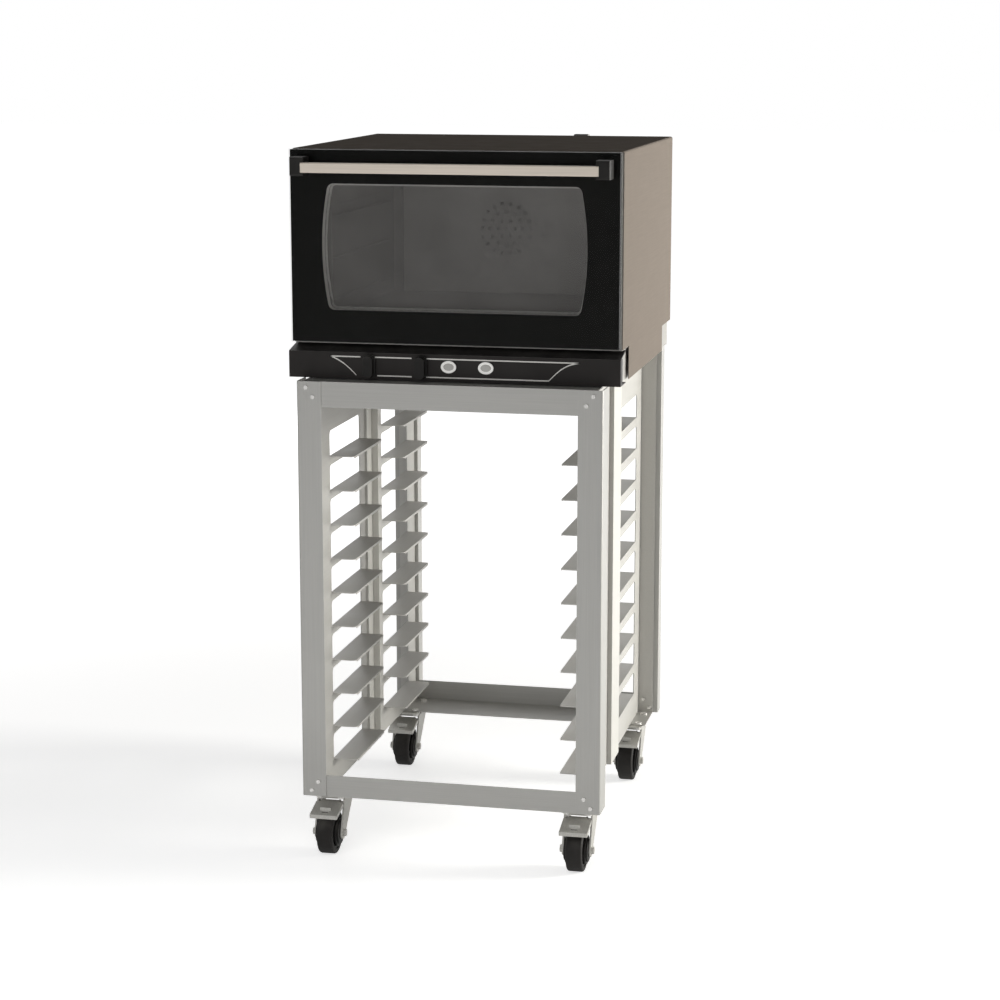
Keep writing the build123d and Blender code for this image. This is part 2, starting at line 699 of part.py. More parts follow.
# Oven pads stand on the flanges of the top rails
front_pad_y = stand_front + FRAME_SHEET + RAIL_FLANGE - OVEN_PAD_EDGE
rear_pad_y = rear_web - RAIL_FLANGE + OVEN_PAD_EDGE
with BuildPart() as oven_pads:
    for pad_y in (front_pad_y, rear_pad_y):
        for side in sides.values():
            slab(
                (side * OVEN_PAD_X - PAD_SIDE / 2, side * OVEN_PAD_X + PAD_SIDE / 2),
                (pad_y - PAD_SIDE / 2, pad_y + PAD_SIDE / 2),
                (STAND_TOP, OVEN_UNDERSIDE),
            )
finish(oven_pads, "oven_pads")

# Base: the shallow electrical box under the cavity, open behind the control panel
base_rear = OVEN_REAR - BACK_SHEET
with BuildPart() as oven_base:
    half = BASE_WIDTH / 2
    slab((-half, half), (door_y + BASE_FRONT, door_y + base_rear), (OVEN_UNDERSIDE, FLOOR_TOP))
    slab(
        (-half + BASE_SHEET, half - BASE_SHEET),
        (door_y + BASE_FRONT, door_y + base_rear - BASE_SHEET),
        (OVEN_UNDERSIDE + BASE_SHEET, FLOOR_TOP - BASE_SHEET),
        mode=Mode.SUBTRACT,
    )
    slab(
        (-casing_inner, casing_inner),
        (door_y + FLOOR_FRONT, door_y + base_rear),
        (FLOOR_TOP - BASE_SHEET, FLOOR_TOP),
    )
    cut_round_y(
        [(GLAND_X, GLAND_Z)], GLAND_RADIUS + BOLT_HOLE_CLEARANCE,
        door_y + base_rear - BASE_SHEET, door_y + base_rear,
    )
finish(oven_base, "oven_base")

# Casing: top and sides in one wrap, with a skirt along the middle of each side
with BuildPart() as oven_casing:
    with BuildSketch(facing(door_y + CASING_FRONT)) as wrap:
        with Locations((0, (OVEN_TOP + OVEN_UNDERSIDE) / 2)):
            Rectangle(OVEN_WIDTH, OVEN_TOP - OVEN_UNDERSIDE)
        fillet(wrap.vertices().group_by(Axis.Y)[-1], CASING_BEND)
        offset(amount=-CASING_SHEET, mode=Mode.SUBTRACT)
    extrude(amount=-(OVEN_REAR - CASING_FRONT))
    half = OVEN_WIDTH / 2
    slab(
        (-casing_inner, casing_inner),
        (door_y + CASING_FRONT, door_y + OVEN_REAR),
        (OVEN_UNDERSIDE, FLOOR_TOP),
        mode=Mode.SUBTRACT,
    )
    slab(
        (-half, half), (door_y + CASING_FRONT, door_y + SKIRT_FRONT),
        (OVEN_UNDERSIDE, FLOOR_TOP), mode=Mode.SUBTRACT,
    )
    slab(
        (-half, half), (door_y + SKIRT_REAR, door_y + OVEN_REAR),
        (OVEN_UNDERSIDE, REAR_DROP), mode=Mode.SUBTRACT,
    )
finish(oven_casing, "oven_casing")

# Front frame: the face of the oven behind the door
frame_half = casing_inner - BACK_MARGIN
frame_top = OVEN_TOP - CASING_SHEET
with BuildPart() as front_frame:
    slab(
        (-frame_half, frame_half),
        (door_y + FRONT_FRAME_FACE, door_y + FRONT_FRAME_FACE + FRONT_FRAME_SHEET),
        (FLOOR_TOP, frame_top),
    )
    fillet(front_frame.edges().filter_by(Axis.Y).group_by(Axis.Z)[-1], CASING_BEND)
    slab(
        (-CAVITY_WIDTH / 2, CAVITY_WIDTH / 2),
        (door_y + FRONT_FRAME_FACE, door_y + FRONT_FRAME_FACE + FRONT_FRAME_SHEET),
        (CAVITY_BOTTOM, CAVITY_TOP),
        mode=Mode.SUBTRACT,
    )
finish(front_frame, "front_frame")

# Back panel with its cooling slots
with BuildPart() as back_panel:
    slab(
        (-frame_half, frame_half),
        (door_y + OVEN_REAR - BACK_SHEET, door_y + OVEN_REAR),
        (REAR_DROP, frame_top),
    )
    fillet(back_panel.edges().filter_by(Axis.Y).group_by(Axis.Z)[-1], CASING_BEND)
    with BuildSketch(facing(door_y + OVEN_REAR)):
        with Locations((0, VENT_Z)):
            with GridLocations(VENT_PITCH_X, VENT_PITCH_Z, VENT_COLUMNS, VENT_ROWS):
                SlotOverall(VENT_LENGTH, VENT_HEIGHT)
    extrude(amount=BACK_SHEET, mode=Mode.SUBTRACT)
finish(back_panel, "back_panel")

# Steam outlet on the back
with BuildPart() as exhaust_duct:
    duct_y = (door_y + OVEN_REAR, door_y + OVEN_REAR + DUCT_DEPTH)
    slab((DUCT_X - DUCT_WIDTH / 2, DUCT_X + DUCT_WIDTH / 2), duct_y, (DUCT_BOTTOM, DUCT_TOP))
    slab(
        (DUCT_X - DUCT_WIDTH / 2 + CASING_SHEET, DUCT_X + DUCT_WIDTH / 2 - CASING_SHEET),
        (duct_y[0] + CASING_SHEET, duct_y[1] - CASING_SHEET),
        (DUCT_BOTTOM + CASING_SHEET, DUCT_TOP),
        mode=Mode.SUBTRACT,
    )
finish(exhaust_duct, "exhaust_duct")

# Cable gland in the back of the base
with BuildPart() as cable_gland:
    gland_face = door_y + base_rear
    inner_nut_y = gland_face - BASE_SHEET - GLAND_NUT_HEIGHT
    with BuildSketch(facing(inner_nut_y)):
        with Locations((GLAND_X, GLAND_Z)):
            Circle(GLAND_RADIUS)
    extrude(amount=-(BASE_SHEET + GLAND_NUT_HEIGHT + GLAND_LENGTH))
    for nut_y in (inner_nut_y, gland_face):
        with BuildSketch(facing(nut_y)):
            with Locations((GLAND_X, GLAND_Z)):
                RegularPolygon(GLAND_NUT_RADIUS, 6)
        extrude(amount=-GLAND_NUT_HEIGHT)
    cut_round_y([(GLAND_X, GLAND_Z)], GLAND_BORE, inner_nut_y, gland_face + GLAND_LENGTH)
finish(cable_gland, "cable_gland")

# Cavity liner
standoff_points = [
    (
        MOTOR_STANDOFF_CIRCLE * math.cos(math.radians(45 + 90 * corner)),
        cavity_middle + MOTOR_STANDOFF_CIRCLE * math.sin(math.radians(45 + 90 * corner)),
    )
    for corner in range(4)
]
gap_half = math.radians(ELEMENT_GAP / 2)
lead_points = [
    (
        sign * ELEMENT_RADIUS * math.sin(gap_half),
        cavity_middle - ELEMENT_RADIUS * math.cos(gap_half),
    )
    for sign in (-1, 1)
]
liner_front = FRONT_FRAME_FACE + FRONT_FRAME_SHEET
liner_half = CAVITY_WIDTH / 2 + LINER_SHEET
with BuildPart() as cavity_liner:
    with BuildSketch(facing(door_y + liner_front)):
        with Locations((0, cavity_middle)):
            RectangleRounded(
                2 * liner_half,
                CAVITY_TOP - CAVITY_BOTTOM + 2 * LINER_SHEET,
                CAVITY_CORNER + LINER_SHEET,
            )
    extrude(amount=-(liner_rear - liner_front))
    with BuildSketch(facing(door_y + liner_front)):
        with Locations((0, cavity_middle)):
            RectangleRounded(CAVITY_WIDTH, CAVITY_TOP - CAVITY_BOTTOM, CAVITY_CORNER)
    extrude(amount=-(CAVITY_REAR - liner_front), mode=Mode.SUBTRACT)
    cut_round_y([(0, cavity_middle)], SHAFT_PORT, door_y + CAVITY_REAR, door_y + liner_rear)
    cut_round_y(lead_points, LEAD_PORT, door_y + CAVITY_REAR, door_y + liner_rear)
    with BuildSketch(Plane.YZ.offset(CAVITY_WIDTH / 2)):
        with Locations((door_y + LAMP_Y, LAMP_Z)):
            Circle(LAMP_RADIUS + FACE_CLEARANCE)
    extrude(amount=LINER_SHEET, mode=Mode.SUBTRACT)
finish(cavity_liner, "cavity_liner")

# Insulation blanket round the liner
with BuildPart() as insulation:
    half = liner_half + INSULATION
    slab(
        (-half, half), (door_y + liner_front, door_y + insulation_rear),
        (CAVITY_BOTTOM - LINER_SHEET - INSULATION, CAVITY_TOP + LINER_SHEET + INSULATION),
    )
    with BuildSketch(facing(door_y + liner_front)):
        with Locations((0, cavity_middle)):
            RectangleRounded(
                2 * (liner_half + FACE_CLEARANCE),
                CAVITY_TOP - CAVITY_BOTTOM + 2 * (LINER_SHEET + FACE_CLEARANCE),
                CAVITY_CORNER + LINER_SHEET,
            )
    extrude(amount=-(liner_rear + FACE_CLEARANCE - liner_front), mode=Mode.SUBTRACT)
    cut_round_y([(0, cavity_middle)], SHAFT_PORT, door_y + liner_rear, door_y + insulation_rear)
    cut_round_y(lead_points, LEAD_PORT, door_y + liner_rear, door_y + insulation_rear)
    cut_round_y(
        standoff_points, MOTOR_STANDOFF + FACE_CLEARANCE,
        door_y + liner_rear, door_y + insulation_rear,
    )
    with BuildSketch(Plane.YZ.offset(liner_half)):
        with Locations((door_y + LAMP_Y, LAMP_Z)):
            Circle(LAMP_RADIUS + FACE_CLEARANCE)
    extrude(amount=INSULATION, mode=Mode.SUBTRACT)
finish(insulation, "insulation")

# Fan baffle: a folded sheet in front of the fan, with a perforated intake
with BuildPart() as fan_baffle:
    half = BAFFLE_WIDTH / 2
    baffle_z = (CAVITY_BOTTOM + BAFFLE_EDGE_GAP, CAVITY_TOP - BAFFLE_EDGE_GAP)
    slab((-half, half), (door_y + BAFFLE_FACE, door_y + BAFFLE_FACE + LINER_SHEET), baffle_z)
    for side in sides.values():
        slab(
            (side * half, side * (half - LINER_SHEET)),
            (door_y + BAFFLE_FACE, door_y + CAVITY_REAR),
            baffle_z,
        )
    with BuildSketch(facing(door_y + BAFFLE_FACE)):
        with Locations((0, cavity_middle)):
            Circle(INTAKE_HOLE)
            for ring in range(1, INTAKE_RINGS + 1):
                with PolarLocations(ring * INTAKE_RING, 6 * ring):
                    Circle(INTAKE_HOLE)
    extrude(amount=-LINER_SHEET, mode=Mode.SUBTRACT)
finish(fan_baffle, "fan_baffle")

# Fan rotor on its shaft
rotor_back = door_y + CAVITY_REAR - ROTOR_BACK_GAP
with BuildPart() as fan_rotor:
    with BuildSketch(facing(rotor_back)):
        with Locations((0, cavity_middle)):
            Circle(ROTOR_RADIUS)
    extrude(amount=ROTOR_SHEET)
    with BuildSketch(facing(rotor_back)):
        with Locations((0, cavity_middle)):
            with PolarLocations((BLADE_INNER + ROTOR_RADIUS) / 2, ROTOR_BLADES):
                Rectangle(ROTOR_RADIUS - BLADE_INNER, ROTOR_SHEET)
    extrude(amount=BLADE_DEPTH)
    with BuildSketch(facing(rotor_back)):
        with Locations((0, cavity_middle)):
            Circle(ROTOR_HUB)
    extrude(amount=BLADE_DEPTH / 2)
    with BuildSketch(facing(rotor_back - BLADE_DEPTH / 2)):
        with Locations((0, cavity_middle)):
            Circle(SHAFT_RADIUS)
    extrude(amount=-SHAFT_LENGTH)
finish(fan_rotor, "fan_rotor")

# Fan motor on four standoffs behind the insulation
motor_front = door_y + insulation_rear + FACE_CLEARANCE
shaft_end = rotor_back - BLADE_DEPTH / 2 + SHAFT_LENGTH
with BuildPart() as fan_motor:
    with BuildSketch(facing(motor_front)):
        with Locations((0, cavity_middle)):
            Circle(MOTOR_RADIUS)
    extrude(amount=-MOTOR_LENGTH)
    with BuildSketch(facing(door_y + liner_rear)):
        with Locations(*standoff_points):
            Circle(MOTOR_STANDOFF)
    extrude(amount=-(motor_front - door_y - liner_rear))
    cut_round_y(
        [(0, cavity_middle)], SHAFT_RADIUS + RUNNING_CLEARANCE,
        motor_front, shaft_end + FACE_CLEARANCE,
    )
finish(fan_motor, "fan_motor")

# Ring heating element round the fan, with its leads through the back
element_y = door_y + CAVITY_REAR - ELEMENT_FROM_REAR
lead_end = door_y + insulation_rear
with BuildPart() as heating_element:
    with BuildLine(facing(element_y)):
        ring_path = CenterArc(
            (0, cavity_middle), ELEMENT_RADIUS, -90 + ELEMENT_GAP / 2, 360 - ELEMENT_GAP
        )
    with BuildSketch(Plane(origin=ring_path @ 0, z_dir=ring_path % 0)):
        Circle(ELEMENT_TUBE)
    sweep(path=ring_path)
    for lead in lead_points:
        with Locations((lead[0], element_y, lead[1])):
            Sphere(ELEMENT_TUBE)
    with BuildSketch(facing(element_y)):
        with Locations(*lead_points):
            Circle(ELEMENT_TUBE)
    extrude(amount=-(lead_end - element_y))
    with BuildSketch(facing(door_y + CAVITY_REAR)):
        with Locations((0, lead_points[0][1])):
            RectangleRounded(
                2 * lead_points[1][0] + 6 * ELEMENT_TUBE, 5 * ELEMENT_TUBE, 2 * ELEMENT_TUBE
            )
    extrude(amount=LINER_SHEET)
finish(heating_element, "heating_element")

# Tray guides on the cavity's side walls
ledge_levels = [GUIDE_FIRST + level * GUIDE_PITCH for level in range(GUIDE_LEVELS)]
with BuildPart() as tray_guides:
    for side in sides.values():
        wall = side * CAVITY_WIDTH / 2
        face = side * (CAVITY_WIDTH / 2 - LINER_SHEET)
        slab(
            (wall, face), (door_y + GUIDE_FRONT, door_y + GUIDE_REAR),
            (ledge_levels[0] - GUIDE_MARGIN, ledge_levels[-1] + GUIDE_MARGIN),
        )
        for level in ledge_levels:
            slab(
                (face, face - side * GUIDE_LEDGE), (door_y + GUIDE_FRONT, door_y + GUIDE_REAR),
                (level - LINER_SHEET, level),
            )
finish(tray_guides, "tray_guides")

# Cavity lamp: the holder in the insulation and the glass over it
lamp_centre = (door_y + LAMP_Y, LAMP_Z)
with BuildPart() as cavity_lamp:
    with BuildSketch(Plane.YZ.offset(liner_half + FACE_CLEARANCE)):
        with Locations(lamp_centre):
            Circle(LAMP_RADIUS)
    extrude(amount=LAMP_DEPTH)
    with BuildSketch(Plane.YZ.offset(liner_half + FACE_CLEARANCE)):
        with Locations(lamp_centre):
            Circle(LAMP_RADIUS - LAMP_WALL)
            Circle(LAMP_RADIUS / 2, mode=Mode.SUBTRACT)
    extrude(amount=LAMP_DEPTH - LAMP_WALL, mode=Mode.SUBTRACT)
    with BuildSketch(Plane.YZ.offset(CAVITY_WIDTH / 2 - LINER_SHEET)):
        with Locations(lamp_centre):
            Circle(LAMP_RADIUS + LAMP_LENS_RIM)
    extrude(amount=LINER_SHEET)
    with BuildSketch(Plane.YZ.offset(CAVITY_WIDTH / 2)):
        with Locations(lamp_centre):
            Circle(LAMP_RADIUS)
    extrude(amount=LINER_SHEET)
finish(cavity_lamp, "cavity_lamp")


def window_face(grow):
    """Draw the barrel-shaped window, grown outward all round by a margin."""
    low = WINDOW_BOTTOM - grow
    high = WINDOW_TOP + grow
    corner = WINDOW_CORNER_X + grow
    bulge = WINDOW_MIDDLE_X + grow
    with BuildLine() as outline:
        Line((-corner, low), (corner, low))
        ThreePointArc((corner, low), (bulge, window_middle), (corner, high))
        Line((corner, high), (-corner, high))
        ThreePointArc((-corner, high), (-bulge, window_middle), (-corner, low))
    make_face(outline.edges())


def round_window(sketch, grow):
    """Round the four corners of a window drawn alone in a sketch."""
    fillet(sketch.vertices(), WINDOW_CORNER + grow)


def cut_window(grow, y_from, y_to):
    """Cut the window through the open part between two depths behind the glass front."""
    with BuildSketch(facing(door_y + y_from)) as opening:
        window_face(grow)
        round_window(opening, grow)
    extrude(opening.sketch, amount=-(y_to - y_from), mode=Mode.SUBTRACT)


# Door gasket on the front frame
with BuildPart() as door_gasket:
    with BuildSketch(facing(door_y + DOOR_BACK + GASKET_GAP)):
        with Locations((0, cavity_middle)):
            inner_w = CAVITY_WIDTH + 2 * GASKET_MARGIN
            inner_h = CAVITY_TOP - CAVITY_BOTTOM + 2 * GASKET_MARGIN
            RectangleRounded(
                inner_w + 2 * GASKET_WIDTH, inner_h + 2 * GASKET_WIDTH, GASKET_CORNER
            )
            RectangleRounded(
                inner_w, inner_h, GASKET_CORNER - GASKET_WIDTH, mode=Mode.SUBTRACT
            )
    extrude(amount=-(FRONT_FRAME_FACE - DOOR_BACK - GASKET_GAP))
finish(door_gasket, "door_gasket")

# Door outer glass
with BuildPart() as door_outer_glass:
    half = DOOR_WIDTH / 2
    slab((-half, half), (door_y, door_y + DOOR_GLASS), (DOOR_BOTTOM, OVEN_TOP))
    chamfer(door_outer_glass.faces().sort_by(Axis.Y)[0].edges(), GLASS_BEVEL)
finish(door_outer_glass, "door_outer_glass")

# Door frame: black front plate, edge walls and hinge ears
shell_half = DOOR_WIDTH / 2 - DOOR_MARGIN
shell_z = (DOOR_BOTTOM + DOOR_MARGIN, OVEN_TOP - DOOR_MARGIN)
liner_plate = DOOR_BACK - DOOR_SHEET
arm_slot = HINGE_ARM / 2 + HINGE_SLOT_CLEARANCE
with BuildPart() as door_frame:
    slab((-shell_half, shell_half), (door_y + DOOR_GLASS, door_y + liner_plate), shell_z)
    slab(
        (-shell_half + DOOR_SHEET, shell_half - DOOR_SHEET),
        (door_y + DOOR_GLASS + DOOR_SHEET, door_y + liner_plate),
        (shell_z[0] + DOOR_SHEET, shell_z[1] - DOOR_SHEET),
        mode=Mode.SUBTRACT,
    )
    cut_window(0, DOOR_GLASS, DOOR_GLASS + DOOR_SHEET)
    for side in sides.values():
        slab(
            (
                side * (HINGE_ARM_X - HINGE_PIN_LENGTH / 2),
                side * (HINGE_ARM_X + HINGE_PIN_LENGTH / 2),
            ),
            (door_y + DOOR_GLASS + DOOR_SHEET, door_y + EAR_REAR),
            (shell_z[0], EAR_TOP),
        )
        slab(
            (side * (HINGE_ARM_X - arm_slot), side * (HINGE_ARM_X + arm_slot)),
            (door_y + HINGE_Y - HINGE_ARM_RADIUS - 2 * HINGE_SLOT_CLEARANCE, door_y + DOOR_BACK),
            (shell_z[0], EAR_TOP),
            mode=Mode.SUBTRACT,
        )
    with BuildSketch(Plane.YZ.offset(-shell_half)):
        with Locations((door_y + HINGE_Y, HINGE_Z)):
            Circle(HINGE_PIN_RADIUS + RUNNING_CLEARANCE)
    extrude(amount=2 * shell_half, mode=Mode.SUBTRACT)
    for side in sides.values():
        slab(
            (side * shell_half, side * (shell_half - DOOR_SHEET)),
            (door_y + DOOR_GLASS, door_y + EAR_REAR),
            (shell_z[0], EAR_TOP),
        )
finish(door_frame, "door_frame")

# Door liner: steel back plate and the throat of the window
with BuildPart() as door_liner:
    slab((-shell_half, shell_half), (door_y + liner_plate, door_y + DOOR_BACK), shell_z)
    with BuildSketch(facing(door_y + DOOR_GLASS + DOOR_SHEET)) as throat:
        window_face(DOOR_SHEET)
        round_window(throat, DOOR_SHEET)
    extrude(amount=-(liner_plate - DOOR_GLASS - DOOR_SHEET))
    cut_window(0, DOOR_GLASS + DOOR_SHEET, liner_plate)
    cut_window(-PANE_LIP, liner_plate, DOOR_BACK)
    for side in sides.values():
        slab(
            (side * (HINGE_ARM_X - arm_slot), side * (HINGE_ARM_X + arm_slot)),
            (door_y + liner_plate, door_y + DOOR_BACK),
            (shell_z[0], EAR_TOP),
            mode=Mode.SUBTRACT,
        )
finish(door_liner, "door_liner")

# Door inner glass, seated on the lip of the liner
with BuildPart() as door_inner_glass:
    with BuildSketch(facing(door_y + liner_plate - PANE)) as pane:
        window_face(-PANE_CLEARANCE)
        round_window(pane, -PANE_CLEARANCE)
    extrude(amount=-PANE)
finish(door_inner_glass, "door_inner_glass")

# Door hinges: an arm on the front frame with a pin through the door's ears
with BuildPart() as door_hinges:
    for side in sides.values():
        arm_x = side * HINGE_ARM_X
        with BuildSketch(Plane.YZ.offset(arm_x - HINGE_ARM / 2)):
            with Locations((door_y + HINGE_Y, HINGE_Z)):
                Circle(HINGE_ARM_RADIUS)
            with Locations((door_y + (HINGE_Y + FRONT_FRAME_FACE) / 2, HINGE_Z)):
                Rectangle(FRONT_FRAME_FACE - HINGE_Y, 2 * HINGE_ARM_RADIUS)
        extrude(amount=HINGE_ARM)
        with BuildSketch(Plane.YZ.offset(arm_x - HINGE_PIN_LENGTH / 2)):
            with Locations((door_y + HINGE_Y, HINGE_Z)):
                Circle(HINGE_PIN_RADIUS)
        extrude(amount=HINGE_PIN_LENGTH)
finish(door_hinges, "door_hinges")

# Handle bar, held in a socket at each end
bar_y = (door_y - HANDLE_STANDOFF, door_y - HANDLE_STANDOFF + BAR_THICKNESS)
with BuildPart() as door_handle:
    half = BRACKET_INNER + BAR_INSERT
    slab((-half, half), bar_y, (BAR_BOTTOM, BAR_TOP))
    fillet(door_handle.edges().filter_by(Axis.X), BAR_EDGE)
finish(door_handle, "door_handle")

with BuildPart() as handle_brackets:
    for side in sides.values():
        slab(
            (side * BRACKET_INNER, side * BRACKET_OUTER),
            (door_y - HANDLE_STANDOFF, door_y),
            (BRACKET_BOTTOM, BRACKET_TOP),
        )
    front_rims = handle_brackets.faces().filter_by(Axis.Y).group_by(Axis.Y)[0].edges()
    fillet(front_rims, BRACKET_EDGE)
    for side in sides.values():
        slab(
            (side * BRACKET_INNER, side * (BRACKET_INNER + BAR_INSERT + SOCKET_CLEARANCE)),
            (bar_y[0] - SOCKET_CLEARANCE, bar_y[1] + SOCKET_CLEARANCE),
            (BAR_BOTTOM - SOCKET_CLEARANCE, BAR_TOP + SOCKET_CLEARANCE),
            mode=Mode.SUBTRACT,
        )
finish(handle_brackets, "handle_brackets")

# Control panel: a folded facade with a sloping top
panel_face = door_y - PANEL_FACE
with BuildPart() as control_panel:
    with BuildSketch(Plane.YZ.offset(-PANEL_WIDTH / 2)):
        with BuildLine():
            Polyline(
                (panel_face, OVEN_UNDERSIDE),
                (panel_face, PANEL_TOP),
                (door_y + PANEL_REAR, PANEL_REAR_TOP),
                (door_y + PANEL_REAR, PANEL_REAR_TOP - BASE_SHEET),
                (panel_face + PANEL_SHEET, PANEL_TOP - BASE_SHEET),
                (panel_face + PANEL_SHEET, OVEN_UNDERSIDE + BASE_SHEET),
                (door_y + BASE_FRONT, OVEN_UNDERSIDE + BASE_SHEET),
                (door_y + BASE_FRONT, OVEN_UNDERSIDE),
                close=True,
            )
        make_face()
    extrude(amount=PANEL_WIDTH)
    for side in sides.values():
        with BuildSketch(
            Plane.YZ.offset(side * PANEL_WIDTH / 2 - (PANEL_SHEET if side > 0 else 0))
        ):
            with BuildLine():
                Polyline(
                    (panel_face, OVEN_UNDERSIDE),
                    (panel_face, PANEL_TOP - BASE_SHEET / 2),
                    (panel_face + PANEL_SIDE, PANEL_TOP - BASE_SHEET / 2),
                    (panel_face + PANEL_SIDE, OVEN_UNDERSIDE),
                    close=True,
                )
            make_face()
        extrude(amount=PANEL_SHEET)
    cut_round_y(
        [(TIMER_X, CONTROL_Z), (THERMOSTAT_X, CONTROL_Z)],
        SPINDLE_RADIUS + RUNNING_CLEARANCE, panel_face, panel_face + PANEL_SHEET,
    )
    cut_round_y(
        [(x, PILOT_Z) for x in PILOT_X],
        PILOT_SHANK + BOLT_HOLE_CLEARANCE, panel_face, panel_face + PANEL_SHEET,
    )
finish(control_panel, "control_panel")

# Timer and thermostat knobs on their spindles
knob_back = panel_face - KNOB_GAP
for knob_name, knob_x in (("timer_knob", TIMER_X), ("thermostat_knob", THERMOSTAT_X)):
    with BuildPart() as knob:
        with BuildSketch(facing(knob_back)):
            with Locations((knob_x, CONTROL_Z)):
                SlotOverall(KNOB_HEIGHT, KNOB_WIDTH, rotation=90)
        extrude(amount=KNOB_DEPTH)
        fillet(knob.faces().sort_by(Axis.Y)[0].edges(), KNOB_EDGE)
        with BuildSketch(facing(knob_back)):
            with Locations((knob_x, CONTROL_Z)):
                Circle(SPINDLE_RADIUS)
        extrude(amount=-SPINDLE_LENGTH)
    finish(knob, knob_name)

# Timer and thermostat bodies behind the panel
switch_front = panel_face + PANEL_SHEET
with BuildPart() as control_switches:
    for switch_x in (TIMER_X, THERMOSTAT_X):
        slab(
            (switch_x - SWITCH_WIDTH / 2, switch_x + SWITCH_WIDTH / 2),
            (switch_front, switch_front + SWITCH_DEPTH),
            (CONTROL_Z - SWITCH_HEIGHT / 2, CONTROL_Z + SWITCH_HEIGHT / 2),
        )
    cut_round_y(
        [(TIMER_X, CONTROL_Z), (THERMOSTAT_X, CONTROL_Z)],
        SPINDLE_RADIUS + RUNNING_CLEARANCE,
        switch_front, knob_back + SPINDLE_LENGTH + FACE_CLEARANCE,
    )
finish(control_switches, "control_switches")

# Pilot lamps
with BuildPart() as pilot_lamps:
    for pilot_x in PILOT_X:
        with BuildSketch(facing(panel_face)):
            with Locations((pilot_x, PILOT_Z)):
                Ellipse(PILOT_WIDTH / 2, PILOT_HEIGHT / 2)
        extrude(amount=PILOT_PROUD)
    fillet(pilot_lamps.faces().filter_by(Axis.Y).group_by(Axis.Y)[0].edges(), PILOT_EDGE)
    for pilot_x in PILOT_X:
        with BuildSketch(facing(panel_face)):
            with Locations((pilot_x, PILOT_Z)):
                Circle(PILOT_SHANK)
        extrude(amount=-PILOT_DEPTH)
finish(pilot_lamps, "pilot_lamps")
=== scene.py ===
"""Half-size convection oven on its mobile tray stand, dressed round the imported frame."""

import logging
import math
from collections.abc import Callable, Sequence
from dataclasses import dataclass, field
from enum import Enum

import bmesh
import bpy
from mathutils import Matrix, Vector


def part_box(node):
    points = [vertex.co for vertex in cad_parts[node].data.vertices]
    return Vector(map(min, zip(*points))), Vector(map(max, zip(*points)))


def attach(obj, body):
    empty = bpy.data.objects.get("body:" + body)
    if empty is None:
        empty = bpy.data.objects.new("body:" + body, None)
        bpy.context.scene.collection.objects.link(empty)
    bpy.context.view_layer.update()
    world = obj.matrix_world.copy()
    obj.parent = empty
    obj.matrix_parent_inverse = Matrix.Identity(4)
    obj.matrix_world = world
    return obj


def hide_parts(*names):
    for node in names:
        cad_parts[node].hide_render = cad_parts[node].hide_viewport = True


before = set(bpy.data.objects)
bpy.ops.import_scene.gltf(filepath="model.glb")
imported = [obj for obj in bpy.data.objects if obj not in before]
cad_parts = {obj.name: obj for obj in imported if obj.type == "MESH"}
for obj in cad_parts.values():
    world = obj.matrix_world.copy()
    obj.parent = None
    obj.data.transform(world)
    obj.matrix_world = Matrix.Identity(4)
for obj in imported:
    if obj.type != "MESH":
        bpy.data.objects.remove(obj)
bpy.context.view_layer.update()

LOG = logging.getLogger("oven")
ROOT = "oven_and_stand"
MM = 0.001
WHITE = (1.0, 1.0, 1.0, 1.0)
GREY = (0.5, 0.5, 0.5, 1.0)
Colour = tuple[float, float, float]
Vec = tuple[float, float, float]
Range = tuple[float, float]
Piece = bpy.types.Object
Face = bmesh.types.BMFace
Material = bpy.types.Material
Group = bpy.types.ShaderNodeTree
Node = bpy.types.Node
Socket = bpy.types.NodeSocket


class Side(Enum):
    """The two sides seen from the front, by the word in the node names."""

    LEFT = "left"
    RIGHT = "right"


class End(Enum):
    """The two ends of the stand, by the word in the node names."""

    FRONT = "front"
    REAR = "rear"


class Streak(Enum):
    """The way a sheet was brushed, as pattern scales along X, Y and Z."""

    ALONG_X = (1.2, 95.0, 95.0)
    ALONG_Y = (95.0, 1.2, 95.0)
    ALONG_Z = (95.0, 95.0, 1.2)


class Kind(Enum):
    """What a shader group's socket carries."""

    COLOUR = "NodeSocketColor"
    NUMBER = "NodeSocketFloat"
    VECTOR = "NodeSocketVector"


class Easing(Enum):
    """The curve between the two ends of a mapped range."""

    STRAIGHT = "LINEAR"
    SMOOTH = "SMOOTHSTEP"


# Shader nodes and groups

PATTERN_RESULTS = [("Colour", Kind.COLOUR), ("Roughness", Kind.NUMBER), ("Height", Kind.NUMBER)]


